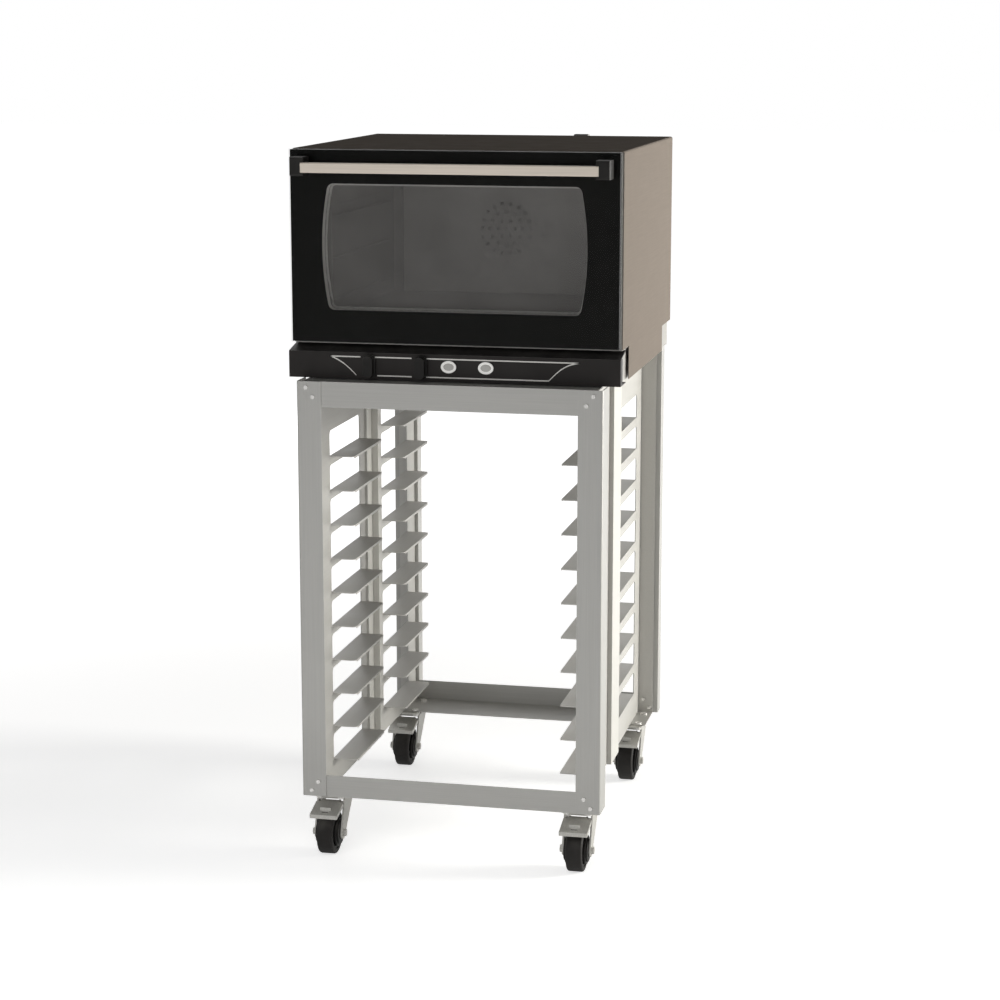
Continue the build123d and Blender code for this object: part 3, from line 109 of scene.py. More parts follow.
@dataclass
class Sheet:
    """A node tree being laid out, with shortcuts for its nodes and sockets."""

    tree: bpy.types.NodeTree

    def node(self, kind: str, **settings: object) -> Node:
        """Add a node and set its properties.

        Args:
            kind: The node's type name.
            settings: Properties to set on it.

        Returns:
            The new node.
        """
        made = self.tree.nodes.new(kind)
        for key, value in settings.items():
            setattr(made, key, value)
        return made

    def join(self, start: Socket, end: Socket) -> None:
        """Link one socket to another."""
        self.tree.links.new(start, end)

    def feed(self, value: Socket | float, end: Socket) -> None:
        """Link a socket to an input, or set a number on it.

        Args:
            value: A socket or a number.
            end: The input.
        """
        if isinstance(value, (int, float)):
            end.default_value = value
        else:
            self.join(value, end)

    def noise(self, scale: float, detail: float, stretch: Socket | None = None) -> Socket:
        """Add noise on object coordinates.

        Args:
            scale: The pattern's scale, per metre.
            detail: Octaves of detail.
            stretch: A socket that gives the scale along each axis.

        Returns:
            The noise's value socket.
        """
        coordinates = self.node("ShaderNodeTexCoord").outputs["Object"]
        if stretch is not None:
            mapping = self.node("ShaderNodeMapping")
            self.join(coordinates, mapping.inputs["Vector"])
            self.join(stretch, mapping.inputs["Scale"])
            coordinates = mapping.outputs["Vector"]
        texture = self.node("ShaderNodeTexNoise")
        texture.inputs["Scale"].default_value = scale
        texture.inputs["Detail"].default_value = detail
        self.join(coordinates, texture.inputs["Vector"])
        return texture.outputs["Fac"]

    def blend(self, mask: Socket, low: Socket, high: Socket) -> Socket:
        """Mix two colours by a mask.

        Args:
            mask: From 0, all low, to 1, all high.
            low: The first colour.
            high: The second colour.

        Returns:
            The mixed colour.
        """
        mix = self.node("ShaderNodeMix", data_type="RGBA")
        self.join(mask, mix.inputs["Factor"])
        self.join(low, mix.inputs[6])
        self.join(high, mix.inputs[7])
        return mix.outputs[2]

    def maths(self, kind: str, first: Socket | float, second: Socket | float) -> Socket:
        """Add one arithmetic node.

        Args:
            kind: The operation.
            first: A socket or a number.
            second: A socket or a number.

        Returns:
            The result.
        """
        made = self.node("ShaderNodeMath", operation=kind)
        self.feed(first, made.inputs[0])
        self.feed(second, made.inputs[1])
        return made.outputs[0]

    def scaled(self, colour: Socket, gain: Socket) -> Socket:
        """Multiply a colour by a number.

        Args:
            colour: The colour.
            gain: The number.

        Returns:
            The brighter or darker colour.
        """
        made = self.node("ShaderNodeVectorMath", operation="SCALE")
        self.join(colour, made.inputs[0])
        self.join(gain, made.inputs["Scale"])
        return made.outputs[0]

    def spread(
        self, value: Socket, source: Range, target: tuple[Socket | float, Socket | float],
        easing: Easing = Easing.STRAIGHT,
    ) -> Socket:
        """Map a range onto another, held at its ends.

        Args:
            value: The value to map.
            source: Where the range starts and ends.
            target: What its start and its end become.
            easing: The curve between them.

        Returns:
            The mapped value.
        """
        made = self.node("ShaderNodeMapRange", interpolation_type=easing.value)
        self.join(value, made.inputs["Value"])
        for label, end in zip(("From Min", "From Max", "To Min", "To Max"), (*source, *target)):
            self.feed(end, made.inputs[label])
        return made.outputs["Result"]

    def swing(self, value: Socket, source: Range, width: Socket) -> Socket:
        """Map a range onto one that lies evenly about 1.

        Args:
            value: The value to map.
            source: Where the range starts and ends.
            width: How wide the new range is.

        Returns:
            The mapped value.
        """
        half = self.maths("MULTIPLY", width, 0.5)
        below = self.maths("SUBTRACT", 1.0, half)
        above = self.maths("ADD", 1.0, half)
        return self.spread(value, source, (below, above))


@dataclass
class GroupSheet(Sheet):
    """A shader group being laid out, with its named inputs and outputs."""

    tree: bpy.types.NodeTree = field(init=False)
    name: str
    inputs: Sequence[tuple[str, Kind, object]]
    outputs: Sequence[tuple[str, Kind]]
    source: Node = field(init=False)
    sink: Node = field(init=False)

    def __post_init__(self) -> None:
        """Make the tree and its named sockets."""
        self.tree = bpy.data.node_groups.new(self.name, "ShaderNodeTree")
        new_socket = self.tree.interface.new_socket
        for label, kind, value in self.inputs:
            new_socket(label, in_out="INPUT", socket_type=kind.value).default_value = value
        for label, kind in self.outputs:
            new_socket(label, in_out="OUTPUT", socket_type=kind.value)
        self.source = self.node("NodeGroupInput")
        self.sink = self.node("NodeGroupOutput")

    def given(self, label: str) -> Socket:
        """The socket of one of the group's inputs."""
        return self.source.outputs[label]

    def give(self, **results: Socket) -> None:
        """Put the results out under their names."""
        for label, socket in results.items():
            self.join(socket, self.sink.inputs[label])


@dataclass
class Effects:
    """The effects that several finishes share, each built once.

    A field here is the part of a noise's range that its effect is spread over.
    """

    wide_field: Range = (0.3, 0.7)
    narrow_field: Range = (0.35, 0.65)
    streak_scale: float = 6.0
    streak_gloss: Range = (-0.04, 0.04)
    smudge_scale: float = 7.0
    smudge_gloss: Range = (-0.05, 0.06)
    corner_turn: Range = (0.998, 0.86)
    chip_scale: float = 60.0
    chip_field: Range = (0.35, 0.6)
    chip_cover: Range = (0.25, 1.0)
    dust_scale: float = 24.0
    dust_field: Range = (0.42, 0.7)
    dust_slope: Range = (0.2, 0.95)
    dust_on_sides: float = 0.12
    dust_roughness: float = 0.35
    patch_scale: float = 11.0
    patch_gloss: Range = (-0.06, 0.06)
    grain_scale: float = 900.0
    brushed: Group = field(init=False)
    wear_and_highlight: Group = field(init=False)
    dust: Group = field(init=False)
    mottle: Group = field(init=False)

    def __post_init__(self) -> None:
        """Build every group."""
        self.brushed = self.make_brushed()
        self.wear_and_highlight = self.make_wear_and_highlight()
        self.dust = self.make_dust()
        self.mottle = self.make_mottle()

    def make_brushed(self) -> Group:
        """Fine streaks from a brushing belt, with broad hand smudges in the gloss.

        Returns:
            The group.
        """
        sheet = GroupSheet(
            "brushed_grain",
            [
                ("Colour", Kind.COLOUR, GREY),
                ("Streaks", Kind.VECTOR, Streak.ALONG_X.value),
                ("Contrast", Kind.NUMBER, 0.1),
                ("Roughness", Kind.NUMBER, 0.4),
            ],
            PATTERN_RESULTS,
        )
        streak = sheet.noise(self.streak_scale, detail=4.0, stretch=sheet.given("Streaks"))
        smudge = sheet.noise(self.smudge_scale, detail=3.0)
        gain = sheet.swing(streak, self.wide_field, sheet.given("Contrast"))
        smear = sheet.spread(smudge, self.narrow_field, self.smudge_gloss)
        line = sheet.spread(streak, self.wide_field, self.streak_gloss)
        rough = sheet.maths("ADD", sheet.given("Roughness"), sheet.maths("ADD", smear, line))
        sheet.give(Colour=sheet.scaled(sheet.given("Colour"), gain), Roughness=rough, Height=streak)
        return sheet.tree

    def make_wear_and_highlight(self) -> Group:
        """Rubbed corners and a painted highlight along edges: a second colour where two faces meet, broken
        up by noise.

        Returns:
            The group.
        """
        sheet = GroupSheet(
            "edge_wear_and_highlight",
            [
                ("Colour", Kind.COLOUR, GREY),
                ("Worn", Kind.COLOUR, (0.7, 0.7, 0.7, 1.0)),
                ("Amount", Kind.NUMBER, 0.5),
                ("Reach", Kind.NUMBER, 1.2 * MM),
            ],
            [("Colour", Kind.COLOUR)],
        )
        # The paler corner colour is partly wear and partly a painted highlight, standing in for light
        # caught by rounded edges.
        bevel = sheet.node("ShaderNodeBevel", samples=4)
        sheet.join(sheet.given("Reach"), bevel.inputs["Radius"])
        normal = sheet.node("ShaderNodeNewGeometry")
        dot = sheet.node("ShaderNodeVectorMath", operation="DOT_PRODUCT")
        sheet.join(bevel.outputs["Normal"], dot.inputs[0])
        sheet.join(normal.outputs["Normal"], dot.inputs[1])
        corner = sheet.spread(dot.outputs["Value"], self.corner_turn, (0.0, 1.0))
        broken = sheet.spread(sheet.noise(self.chip_scale, detail=4.0), self.chip_field, self.chip_cover)
        mask = sheet.maths("MULTIPLY", sheet.maths("MULTIPLY", corner, broken), sheet.given("Amount"))
        sheet.give(Colour=sheet.blend(mask, sheet.given("Colour"), sheet.given("Worn")))
        return sheet.tree

    def make_dust(self) -> Group:
        """Dust and dried splashes that lie on faces turned upward.

        Returns:
            The group.
        """
        sheet = GroupSheet(
            "settled_dust",
            [
                ("Colour", Kind.COLOUR, GREY),
                ("Dust", Kind.COLOUR, (0.55, 0.52, 0.47, 1.0)),
                ("Amount", Kind.NUMBER, 0.2),
                ("Roughness", Kind.NUMBER, 0.4),
            ],
            [("Colour", Kind.COLOUR), ("Roughness", Kind.NUMBER)],
        )
        geometry = sheet.node("ShaderNodeNewGeometry")
        split = sheet.node("ShaderNodeSeparateXYZ")
        sheet.join(geometry.outputs["Normal"], split.inputs[0])
        upward = sheet.spread(split.outputs["Z"], self.dust_slope, (self.dust_on_sides, 1.0))
        patches = sheet.spread(sheet.noise(self.dust_scale, detail=6.0), self.dust_field, (0.0, 1.0))
        mask = sheet.maths("MULTIPLY", sheet.maths("MULTIPLY", upward, patches), sheet.given("Amount"))
        dusty = sheet.blend(mask, sheet.given("Colour"), sheet.given("Dust"))
        dull = sheet.maths("MULTIPLY", mask, self.dust_roughness)
        sheet.give(Colour=dusty, Roughness=sheet.maths("ADD", sheet.given("Roughness"), dull))
        return sheet.tree

    def make_mottle(self) -> Group:
        """Uneven colour and a fine grain, as in paint, moulded plastic and rubber.

        Returns:
            The group.
        """
        sheet = GroupSheet(
            "mottle",
            [
                ("Colour", Kind.COLOUR, GREY),
                ("Variation", Kind.NUMBER, 0.2),
                ("Grain", Kind.VECTOR, (1.0, 1.0, 1.0)),
                ("Roughness", Kind.NUMBER, 0.5),
            ],
            PATTERN_RESULTS,
        )
        broad = sheet.noise(self.patch_scale, detail=3.0)
        grain = sheet.noise(self.grain_scale, detail=2.0, stretch=sheet.given("Grain"))
        both = sheet.maths("MULTIPLY", sheet.maths("ADD", broad, grain), 0.5)
        gain = sheet.swing(both, self.narrow_field, sheet.given("Variation"))
        patchy = sheet.spread(broad, self.narrow_field, self.patch_gloss)
        rough = sheet.maths("ADD", sheet.given("Roughness"), patchy)
        sheet.give(Colour=sheet.scaled(sheet.given("Colour"), gain), Roughness=rough, Height=grain)
        return sheet.tree


EFFECTS = Effects()


# Finishes


def principled(name: str) -> tuple[Material, Node]:
    """Make an empty material with its main shader.

    Args:
        name: The material's name.

    Returns:
        The material and its Principled BSDF.
    """
    material = bpy.data.materials.new(name)
    material.use_nodes = True
    return material, material.node_tree.nodes["Principled BSDF"]


def place_group(material: Material, tree: Group, **values: object) -> Node:
    """Put a shader group in a material.

    Args:
        material: The material.
        tree: The group.
        values: Values or sockets for its inputs.

    Returns:
        The group node.
    """
    node = material.node_tree.nodes.new("ShaderNodeGroup")
    node.node_tree = tree
    for key, value in values.items():
        if isinstance(value, Socket):
            material.node_tree.links.new(value, node.inputs[key])
        else:
            node.inputs[key].default_value = value
    return node


def colour_with(material: Material, shader: Node, layer: Node) -> None:
    """Give the shader a group's colour and roughness.

    Args:
        material: The material.
        shader: Its Principled BSDF.
        layer: The topmost group.
    """
    for label, target in (("Colour", "Base Color"), ("Roughness", "Roughness")):
        material.node_tree.links.new(layer.outputs[label], shader.inputs[target])


def age(material: Material, shader: Node, base: Node, worn_and_highlight: Colour, wear_and_highlight: float, dust: float) -> None:
    """Lay rubbed corners with a painted edge highlight, and dust, over a pattern, and give them to the
    shader.

    Args:
        material: The material.
        shader: Its Principled BSDF.
        base: The pattern's group.
        worn_and_highlight: The colour of a rubbed corner, which also paints a highlight along it.
        wear_and_highlight: How rubbed the corners are, and how strong the painted edge highlight is.
        dust: How dusty the upward faces are.
    """
    rubbed_and_highlit = place_group(
        material, EFFECTS.wear_and_highlight, Colour=base.outputs["Colour"], Worn=opaque(worn_and_highlight), Amount=wear_and_highlight,
    )
    dusty = place_group(
        material, EFFECTS.dust, Colour=rubbed_and_highlit.outputs["Colour"], Amount=dust,
        Roughness=base.outputs["Roughness"],
    )
    colour_with(material, shader, dusty)


def raise_grain(material: Material, shader: Node, height: Socket, depth: float, strength: float) -> None:
    """Feed a height to the shader's normal.

    Args:
        material: The material.
        shader: Its Principled BSDF.
        height: The pattern.
        depth: How deep it is, in metres.
        strength: How much of it shows.
    """
    bump = material.node_tree.nodes.new("ShaderNodeBump")
    bump.inputs["Strength"].default_value = strength
    bump.inputs["Distance"].default_value = depth
    material.node_tree.links.new(height, bump.inputs["Height"])
    material.node_tree.links.new(bump.outputs["Normal"], shader.inputs["Normal"])


def opaque(colour: Colour) -> tuple[float, float, float, float]:
    """A colour with full alpha."""
    return (*colour, 1.0)


@dataclass(frozen=True)
class BrushedSheet:
    """Stainless or zinc-plated sheet with a brushed grain, rubbed corners with a painted edge highlight,
    and some dust.
    """

    name: str
    colour: Colour
    streak: Streak = Streak.ALONG_Z
    metallic: float = 0.4
    roughness: float = 0.42
    contrast: float = 0.08
    worn_and_highlight: Colour = (0.8, 0.79, 0.76)
    wear_and_highlight: float = 0.5
    dust: float = 0.15
    specular: float = 0.5
    grain_depth: float = 0.04 * MM
    grain_strength: float = 0.25

    def make(self) -> Material:
        """Build the material.

        Returns:
            The material.
        """
        material, shader = principled(self.name)
        grain = place_group(
            material, EFFECTS.brushed, Colour=opaque(self.colour), Streaks=self.streak.value,
            Contrast=self.contrast, Roughness=self.roughness,
        )
        age(material, shader, grain, self.worn_and_highlight, self.wear_and_highlight, self.dust)
        shader.inputs["Metallic"].default_value = self.metallic
        shader.inputs["Specular IOR Level"].default_value = self.specular
        raise_grain(material, shader, grain.outputs["Height"], self.grain_depth, self.grain_strength)
        return material


@dataclass(frozen=True)
class Coating:
    """Paint, enamel, plastic or rubber with a grain and uneven colour."""

    name: str
    colour: Colour
    roughness: float = 0.4
    variation: float = 0.2
    coat: float = 0.0
    worn_and_highlight: Colour = (0.25, 0.25, 0.24)
    wear_and_highlight: float = 0.3
    dust: float = 0.12
    metallic: float = 0.0
    specular: float = 0.5
    grain_depth: float = 0.05 * MM
    grain_strength: float = 0.3

    def make(self) -> Material:
        """Build the material.

        Returns:
            The material.
        """
        material, shader = principled(self.name)
        paint = place_group(
            material, EFFECTS.mottle, Colour=opaque(self.colour), Variation=self.variation,
            Roughness=self.roughness,
        )
        age(material, shader, paint, self.worn_and_highlight, self.wear_and_highlight, self.dust)
        shader.inputs["Metallic"].default_value = self.metallic
        shader.inputs["Coat Weight"].default_value = self.coat
        shader.inputs["Specular IOR Level"].default_value = self.specular
        raise_grain(material, shader, paint.outputs["Height"], self.grain_depth, self.grain_strength)
        return material


@dataclass(frozen=True)
class Pane:
    """Glass that lets part of the light through, with faint wiping marks."""

    name: str
    colour: Colour
    alpha: float
    roughness: float = 0.1
    specular: float = 0.5
    variation: float = 0.3
    wiping: Vec = (0.02, 0.02, 0.02)

    def make(self) -> Material:
        """Build the material.

        Returns:
            The material.
        """
        material, shader = principled(self.name)
        film = place_group(
            material, EFFECTS.mottle, Colour=opaque(self.colour), Variation=self.variation,
            Roughness=self.roughness, Grain=self.wiping,
        )
        colour_with(material, shader, film)
        shader.inputs["Alpha"].default_value = self.alpha
        shader.inputs["Specular IOR Level"].default_value = self.specular
        return material


@dataclass(frozen=True)
class Wool:
    """Mineral wool blanket."""

    name: str
    colour: Colour
    roughness: float = 0.9
    variation: float = 0.6
    fibre: Vec = (0.15, 0.6, 0.6)
    fibre_depth: float = 2.0 * MM
    fibre_strength: float = 0.8

    def make(self) -> Material:
        """Build the material.

        Returns:
            The material.
        """
        material, shader = principled(self.name)
        blanket = place_group(
            material, EFFECTS.mottle, Colour=opaque(self.colour), Variation=self.variation,
            Roughness=self.roughness, Grain=self.fibre,
        )
        colour_with(material, shader, blanket)
        raise_grain(material, shader, blanket.outputs["Height"], self.fibre_depth, self.fibre_strength)
        return material


class Finish(Enum):
    """Every finish on the oven and its stand."""

    STAND_UPRIGHT = BrushedSheet("stand_steel_upright", (0.47, 0.465, 0.445))
    STAND_LEVEL = BrushedSheet("stand_steel_level", (0.47, 0.465, 0.445), Streak.ALONG_X)
    # Lighter than the stand's steel, the same metal: painted light for the racks' inner faces, which the
    # lamps light too little.
    RACK = BrushedSheet(
        "rack_steel_painted_light", (0.56, 0.55, 0.523), Streak.ALONG_Y, metallic=0.3, roughness=0.5, specular=0.3,
    )
    # Much lighter than the stand's steel, the same metal: painted light on the mid posts, which the racks
    # shade from the key lamp.
    POST_PAINTED_LIGHT = BrushedSheet("post_steel_painted_light", (0.66, 0.65, 0.615), metallic=0.3, roughness=0.5, specular=0.3)
    # The casing's dust is real dust, also set to lighten the top as painted light; its paler worn edges
    # paint a highlight along the top's front edge.
    CASING = BrushedSheet(
        "casing_steel", (0.24, 0.209, 0.184), Streak.ALONG_Y, metallic=0.0, roughness=0.7, contrast=0.07,
        worn_and_highlight=(0.4, 0.37, 0.33), wear_and_highlight=0.6, dust=0.1, specular=0.0,
    )
    BASE = BrushedSheet("base_steel", (0.42, 0.41, 0.39), Streak.ALONG_X, metallic=0.3)
    # Darker than the baffle though the same steel: painted shade on the cavity's walls, front frame and
    # tray guides.
    CAVITY_PAINTED_SHADE = BrushedSheet(
        "cavity_steel_painted_shade", (0.36, 0.352, 0.338), Streak.ALONG_X, metallic=0.1, roughness=0.5, wear_and_highlight=0.2,
        dust=0.05,
    )
    # Paler than the cavity's walls though the same steel: painted light on the fan baffle at the back of
    # the cavity.
    BAFFLE_PAINTED_LIGHT = BrushedSheet(
        "baffle_steel_painted_light", (0.66, 0.65, 0.62), Streak.ALONG_X, metallic=0.1, roughness=0.5, wear_and_highlight=0.2,
        dust=0.05,
    )
    # Far paler than the cavity's steel: painted light on the door's throat, which the lamps barely reach.
    THROAT_PAINTED_LIGHT = BrushedSheet("door_liner_steel_painted_light", (0.84, 0.83, 0.8), Streak.ALONG_X, metallic=0.1, wear_and_highlight=0.3)
    ZINC = BrushedSheet(
        "zinc_plate", (0.54, 0.53, 0.495), Streak.ALONG_Y, roughness=0.38, contrast=0.2, wear_and_highlight=0.7,
    )
    BRIGHT = BrushedSheet("bright_fasteners", (0.86, 0.85, 0.82), roughness=0.25, wear_and_highlight=0.4, dust=0.05)
    FAN = BrushedSheet("fan_aluminium", (0.6, 0.6, 0.6), metallic=0.7, roughness=0.4)
    ELEMENT = BrushedSheet("element_steel", (0.16, 0.13, 0.11), metallic=0.6, roughness=0.5, contrast=0.5)
    HANDLE = BrushedSheet(
        "handle_metal", (0.8, 0.716, 0.622), Streak.ALONG_X, metallic=0.15, roughness=0.36, contrast=0.1,
        dust=0.05, worn_and_highlight=(0.75, 0.7, 0.66), wear_and_highlight=0.3,
    )
    ENAMEL = Coating("black_enamel", (0.004, 0.0041, 0.0036), specular=0.3, dust=0.02, wear_and_highlight=0.1)
    PANEL = Coating(
        "panel_paint", (0.0175, 0.0155, 0.0148), roughness=0.45, specular=0.3, dust=0.06, wear_and_highlight=0.7,
        worn_and_highlight=(0.09, 0.087, 0.082),
    )
    PRINT = Coating("silver_print", (0.62, 0.61, 0.58), metallic=0.1, wear_and_highlight=0.1, dust=0.0)
    KNOB = Coating(
        "knob_plastic", (0.010, 0.0095, 0.009), roughness=0.45, grain_strength=0.5, wear_and_highlight=0.1, specular=0.3,
    )
    BRACKET = Coating(
        "bracket_plastic", (0.017, 0.016, 0.0152), roughness=0.45, grain_strength=0.5, wear_and_highlight=0.1,
        specular=0.3,
    )
    WHEEL = Coating(
        "wheel_plastic", (0.012, 0.0112, 0.0105), roughness=0.5, grain_strength=0.5,
        worn_and_highlight=(0.08, 0.078, 0.075), specular=0.3,
    )
    TYRE = Coating(
        "tyre_rubber", (0.019, 0.0175, 0.0165), roughness=0.65, grain_depth=0.2 * MM, wear_and_highlight=0.4,
        worn_and_highlight=(0.06, 0.057, 0.054), specular=0.3,
    )
    GASKET = Coating("gasket_rubber", (0.02, 0.02, 0.02), roughness=0.6, grain_depth=0.2 * MM)
    GLAND = Coating("gland_plastic", (0.03, 0.03, 0.03), roughness=0.45)
    MOTOR = Coating("motor_casting", (0.2, 0.2, 0.21), roughness=0.5, metallic=0.5, grain_depth=0.3 * MM)
    PILOT_RIM = Coating("pilot_rim", (0.94, 0.93, 0.9), roughness=0.3, wear_and_highlight=0.0, dust=0.0)
    PILOT_LENS = Coating("pilot_lens", (0.44, 0.43, 0.41), roughness=0.2, coat=0.6, wear_and_highlight=0.0, dust=0.02)
    TINTED = Pane("tinted_glass", (0.005, 0.0053, 0.0045), 0.1, specular=0.3)
    CLEAR = Pane("clear_glass", (0.31, 0.3, 0.29), 0.29, roughness=0.36, specular=0.2)
    LENS = Pane("lamp_lens", (0.6, 0.6, 0.58), 0.6, roughness=0.26)
    WOOL = Wool("mineral_wool", (0.6, 0.55, 0.4))


MADE: dict[Finish, Material] = {}


def finish_of(choice: Finish) -> Material:
    """Find a finish's material, and build it the first time.

    Args:
        choice: The finish.

    Returns:
        Its material.
    """
    if choice not in MADE:
        MADE[choice] = choice.value.make()
    return MADE[choice]


def dress(piece: Piece, choice: Finish) -> None:
    """Give a piece one finish all over."""
    piece.data.materials.clear()
    piece.data.materials.append(finish_of(choice))


def dress_node(node: str, choice: Finish) -> None:
    """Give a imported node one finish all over."""
    dress(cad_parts[node], choice)
    LOG.info("%s has the finish %s", node, choice.name)


# Modelling by operators

FACING_SIDE = (0.0, math.pi / 2, 0.0)
FACING_FRONT = (math.pi / 2, 0.0, 0.0)
TO_FRONT = (0.0, -1.0, 0.0)
LOOKS_ALONG = 0.9
ROUNDED_ANGLE = math.radians(30.0)
SMOOTH_ANGLE = math.radians(35.0)
HAIR = 1e-6


def deselect() -> None:
    """Leave nothing selected, in object mode."""
    if bpy.context.object is not None and bpy.context.object.mode != "OBJECT":
        bpy.ops.object.mode_set(mode="OBJECT")
    bpy.ops.object.select_all(action="DESELECT")


def take(*pieces: Piece) -> None:
    """Select these pieces alone and make the first one active.

    Args:
        pieces: The pieces.
    """
    deselect()
    for piece in pieces:
        piece.select_set(True)
    bpy.context.view_layer.objects.active = pieces[0]


def settle(name: str) -> Piece:
    """Name the active piece, and bake its place, turn and size into its mesh.

    Args:
        name: The piece's name.

    Returns:
        The piece.
    """
    piece = bpy.context.object
    piece.name = name
    piece.data.name = name
    bpy.ops.object.transform_apply(location=True, rotation=True, scale=True)
    return piece


def block(name: str, centre: Vec, size: Vec) -> Piece:
    """Start a piece as a block.

    Args:
        name: The piece's name.
        centre: Its middle, in metres.
        size: Its sides, in metres.

    Returns:
        The piece.
    """
    deselect()
    bpy.ops.mesh.primitive_cube_add(size=1.0, location=centre, scale=size)
    return settle(name)


def disc(name: str, centre: Vec, radius: float, depth: float, turn: Vec, sides: int) -> Piece:
    """Start a piece as a short round bar.

    Args:
        name: The piece's name.
        centre: Its middle, in metres.
        radius: Its radius.
        depth: Its length.
        turn: How it is turned from upright.
        sides: Faces round it.

    Returns:
        The piece.
    """
    deselect()
    bpy.ops.mesh.primitive_cylinder_add(
        vertices=sides, radius=radius, depth=depth, location=centre, rotation=turn,
    )
    return settle(name)


def shift(by: Sequence[float]) -> None:
    """Move what is selected."""
    bpy.ops.transform.translate(value=tuple(by))


def draw_out(by: Sequence[float]) -> None:
    """Extrude what is selected."""
    bpy.ops.mesh.extrude_region_move(TRANSFORM_OT_translate={"value": tuple(by)})


def duplicate(piece: Piece) -> None:
    """Copy a piece, with a mesh of its own, and leave the copy selected."""
    take(piece)
    bpy.ops.object.duplicate(linked=False)


def moved_copy(piece: Piece, name: str, by: Sequence[float]) -> Piece:
    """Copy a piece and move the copy.

    Args:
        piece: The piece.
        name: The copy's name.
        by: How far the copy moves.

    Returns:
        The copy.
    """
    duplicate(piece)
    shift(by)
    return settle(name)


def turned_copy(piece: Piece, name: str, centre: Sequence[float]) -> Piece:
    """Copy a piece and turn the copy half round an upright line.

    Args:
        piece: The piece.
        name: The copy's name.
        centre: A place on the line.

    Returns:
        The copy.
    """
    duplicate(piece)
    bpy.ops.transform.rotate(value=math.pi, orient_axis="Z", center_override=tuple(centre))
    return settle(name)


def enter_edit(piece: Piece) -> None:
    """Open a piece for editing on its own."""
    take(piece)
    bpy.ops.object.mode_set(mode="EDIT")


def leave_edit() -> None:
    """Close the piece being edited."""
    bpy.ops.object.mode_set(mode="OBJECT")


def pick_faces(piece: Piece, wanted: Callable[[Face], bool]) -> None:
    """Select faces of the piece being edited.

    Args:
        piece: The piece.
        wanted: Says whether a face is taken.
    """
    bpy.ops.mesh.select_mode(type="FACE")
    bpy.ops.mesh.select_all(action="DESELECT")
    mesh = bmesh.from_edit_mesh(piece.data)
    for face in [face for face in mesh.faces if wanted(face)]:
        face.select_set(True)
    bmesh.update_edit_mesh(piece.data)


def pick_points(piece: Piece, wanted: Callable[[Vector], bool]) -> None:
    """Select points of the piece being edited.

    Args:
        piece: The piece.
        wanted: Says whether a place is taken.
    """
    bpy.ops.mesh.select_mode(type="VERT")
    bpy.ops.mesh.select_all(action="DESELECT")
    mesh = bmesh.from_edit_mesh(piece.data)
    for point in [point for point in mesh.verts if wanted(point.co)]:
        point.select_set(True)
    mesh.select_flush_mode()
    bmesh.update_edit_mesh(piece.data)


def looks_along(face: Face, direction: Vec) -> bool:
    """Whether a face looks along a direction."""
    return face.normal.dot(Vector(direction)) > LOOKS_ALONG


def soften(piece: Piece, width: float, segments: int) -> None:
    """Round a piece's edges and shade it smooth.

    Args:
        piece: The piece.
        width: The rounding's width, in metres.
        segments: Faces across it.
    """
    take(piece)
    bevel = piece.modifiers.new("rounding", "BEVEL")
    bevel.width = width
    bevel.segments = segments
    bevel.limit_method = "ANGLE"
    bevel.angle_limit = ROUNDED_ANGLE
    bpy.ops.object.modifier_apply(modifier=bevel.name)
    bpy.ops.object.shade_smooth_by_angle(angle=SMOOTH_ANGLE)


def dish(piece: Piece, direction: Vec, rings: Sequence[Range], rounding: float) -> None:
    """Inset the face that looks one way, ring by ring, and round the piece's edges.

    Args:
        piece: The piece.
        direction: Where the face looks.
        rings: Each ring's width, and how far the middle inside it rises.
        rounding: The rounding's width, in metres.
    """
    enter_edit(piece)
    pick_faces(piece, lambda face: looks_along(face, direction))
    for width, rise in rings:
        bpy.ops.mesh.inset(thickness=width)
        shift(Vector(direction) * rise)
    leave_edit()
    soften(piece, rounding, 2)


def join_pieces(name: str, parts: Sequence[Piece]) -> Piece:
    """Join several meshes into one piece.

    Args:
        name: The piece's name.
        parts: The meshes.

    Returns:
        The piece.
    """
    take(*parts)
    bpy.ops.object.join()
    return settle(name)


def hand_over(piece: Piece, body: str, choice: Finish, replaced: Sequence[str] = ()) -> None:
    """Dress a finished piece and hang it on its body.

    Args:
        piece: The piece.
        body: The body that it moves with.
        choice: Its finish.
        replaced: The nodes that it stands for.
    """
    dress(piece, choice)
    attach(piece, body)
    if replaced:
        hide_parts(*replaced)
    LOG.info("%s on %s, %d faces", piece.name, body, len(piece.data.polygons))


def middle_of(node: str) -> Vector:
    """The middle of a node's box."""
    low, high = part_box(node)
    return (low + high) / 2


# Sub-assemblies


@dataclass
class Stand:
    """The bolted sheet-steel stand and its tray racks."""

    def build(self) -> None:
        """Dress every node of the stand."""
        for end in End:
            for side in Side:
                dress_node(f"leg_{end.value}_{side.value}", Finish.STAND_UPRIGHT)
                dress_node(f"rack_{end.value}_{side.value}", Finish.RACK)
            dress_node(f"top_rail_{end.value}", Finish.STAND_LEVEL)
            dress_node(f"bottom_rail_{end.value}", Finish.STAND_LEVEL)
        dress_node("mid_posts", Finish.POST_PAINTED_LIGHT)
        dress_node("frame_bolts", Finish.BRIGHT)
        dress_node("caster_plates", Finish.ZINC)
        dress_node("caster_bolts", Finish.BRIGHT)
        dress_node("oven_pads", Finish.GASKET)


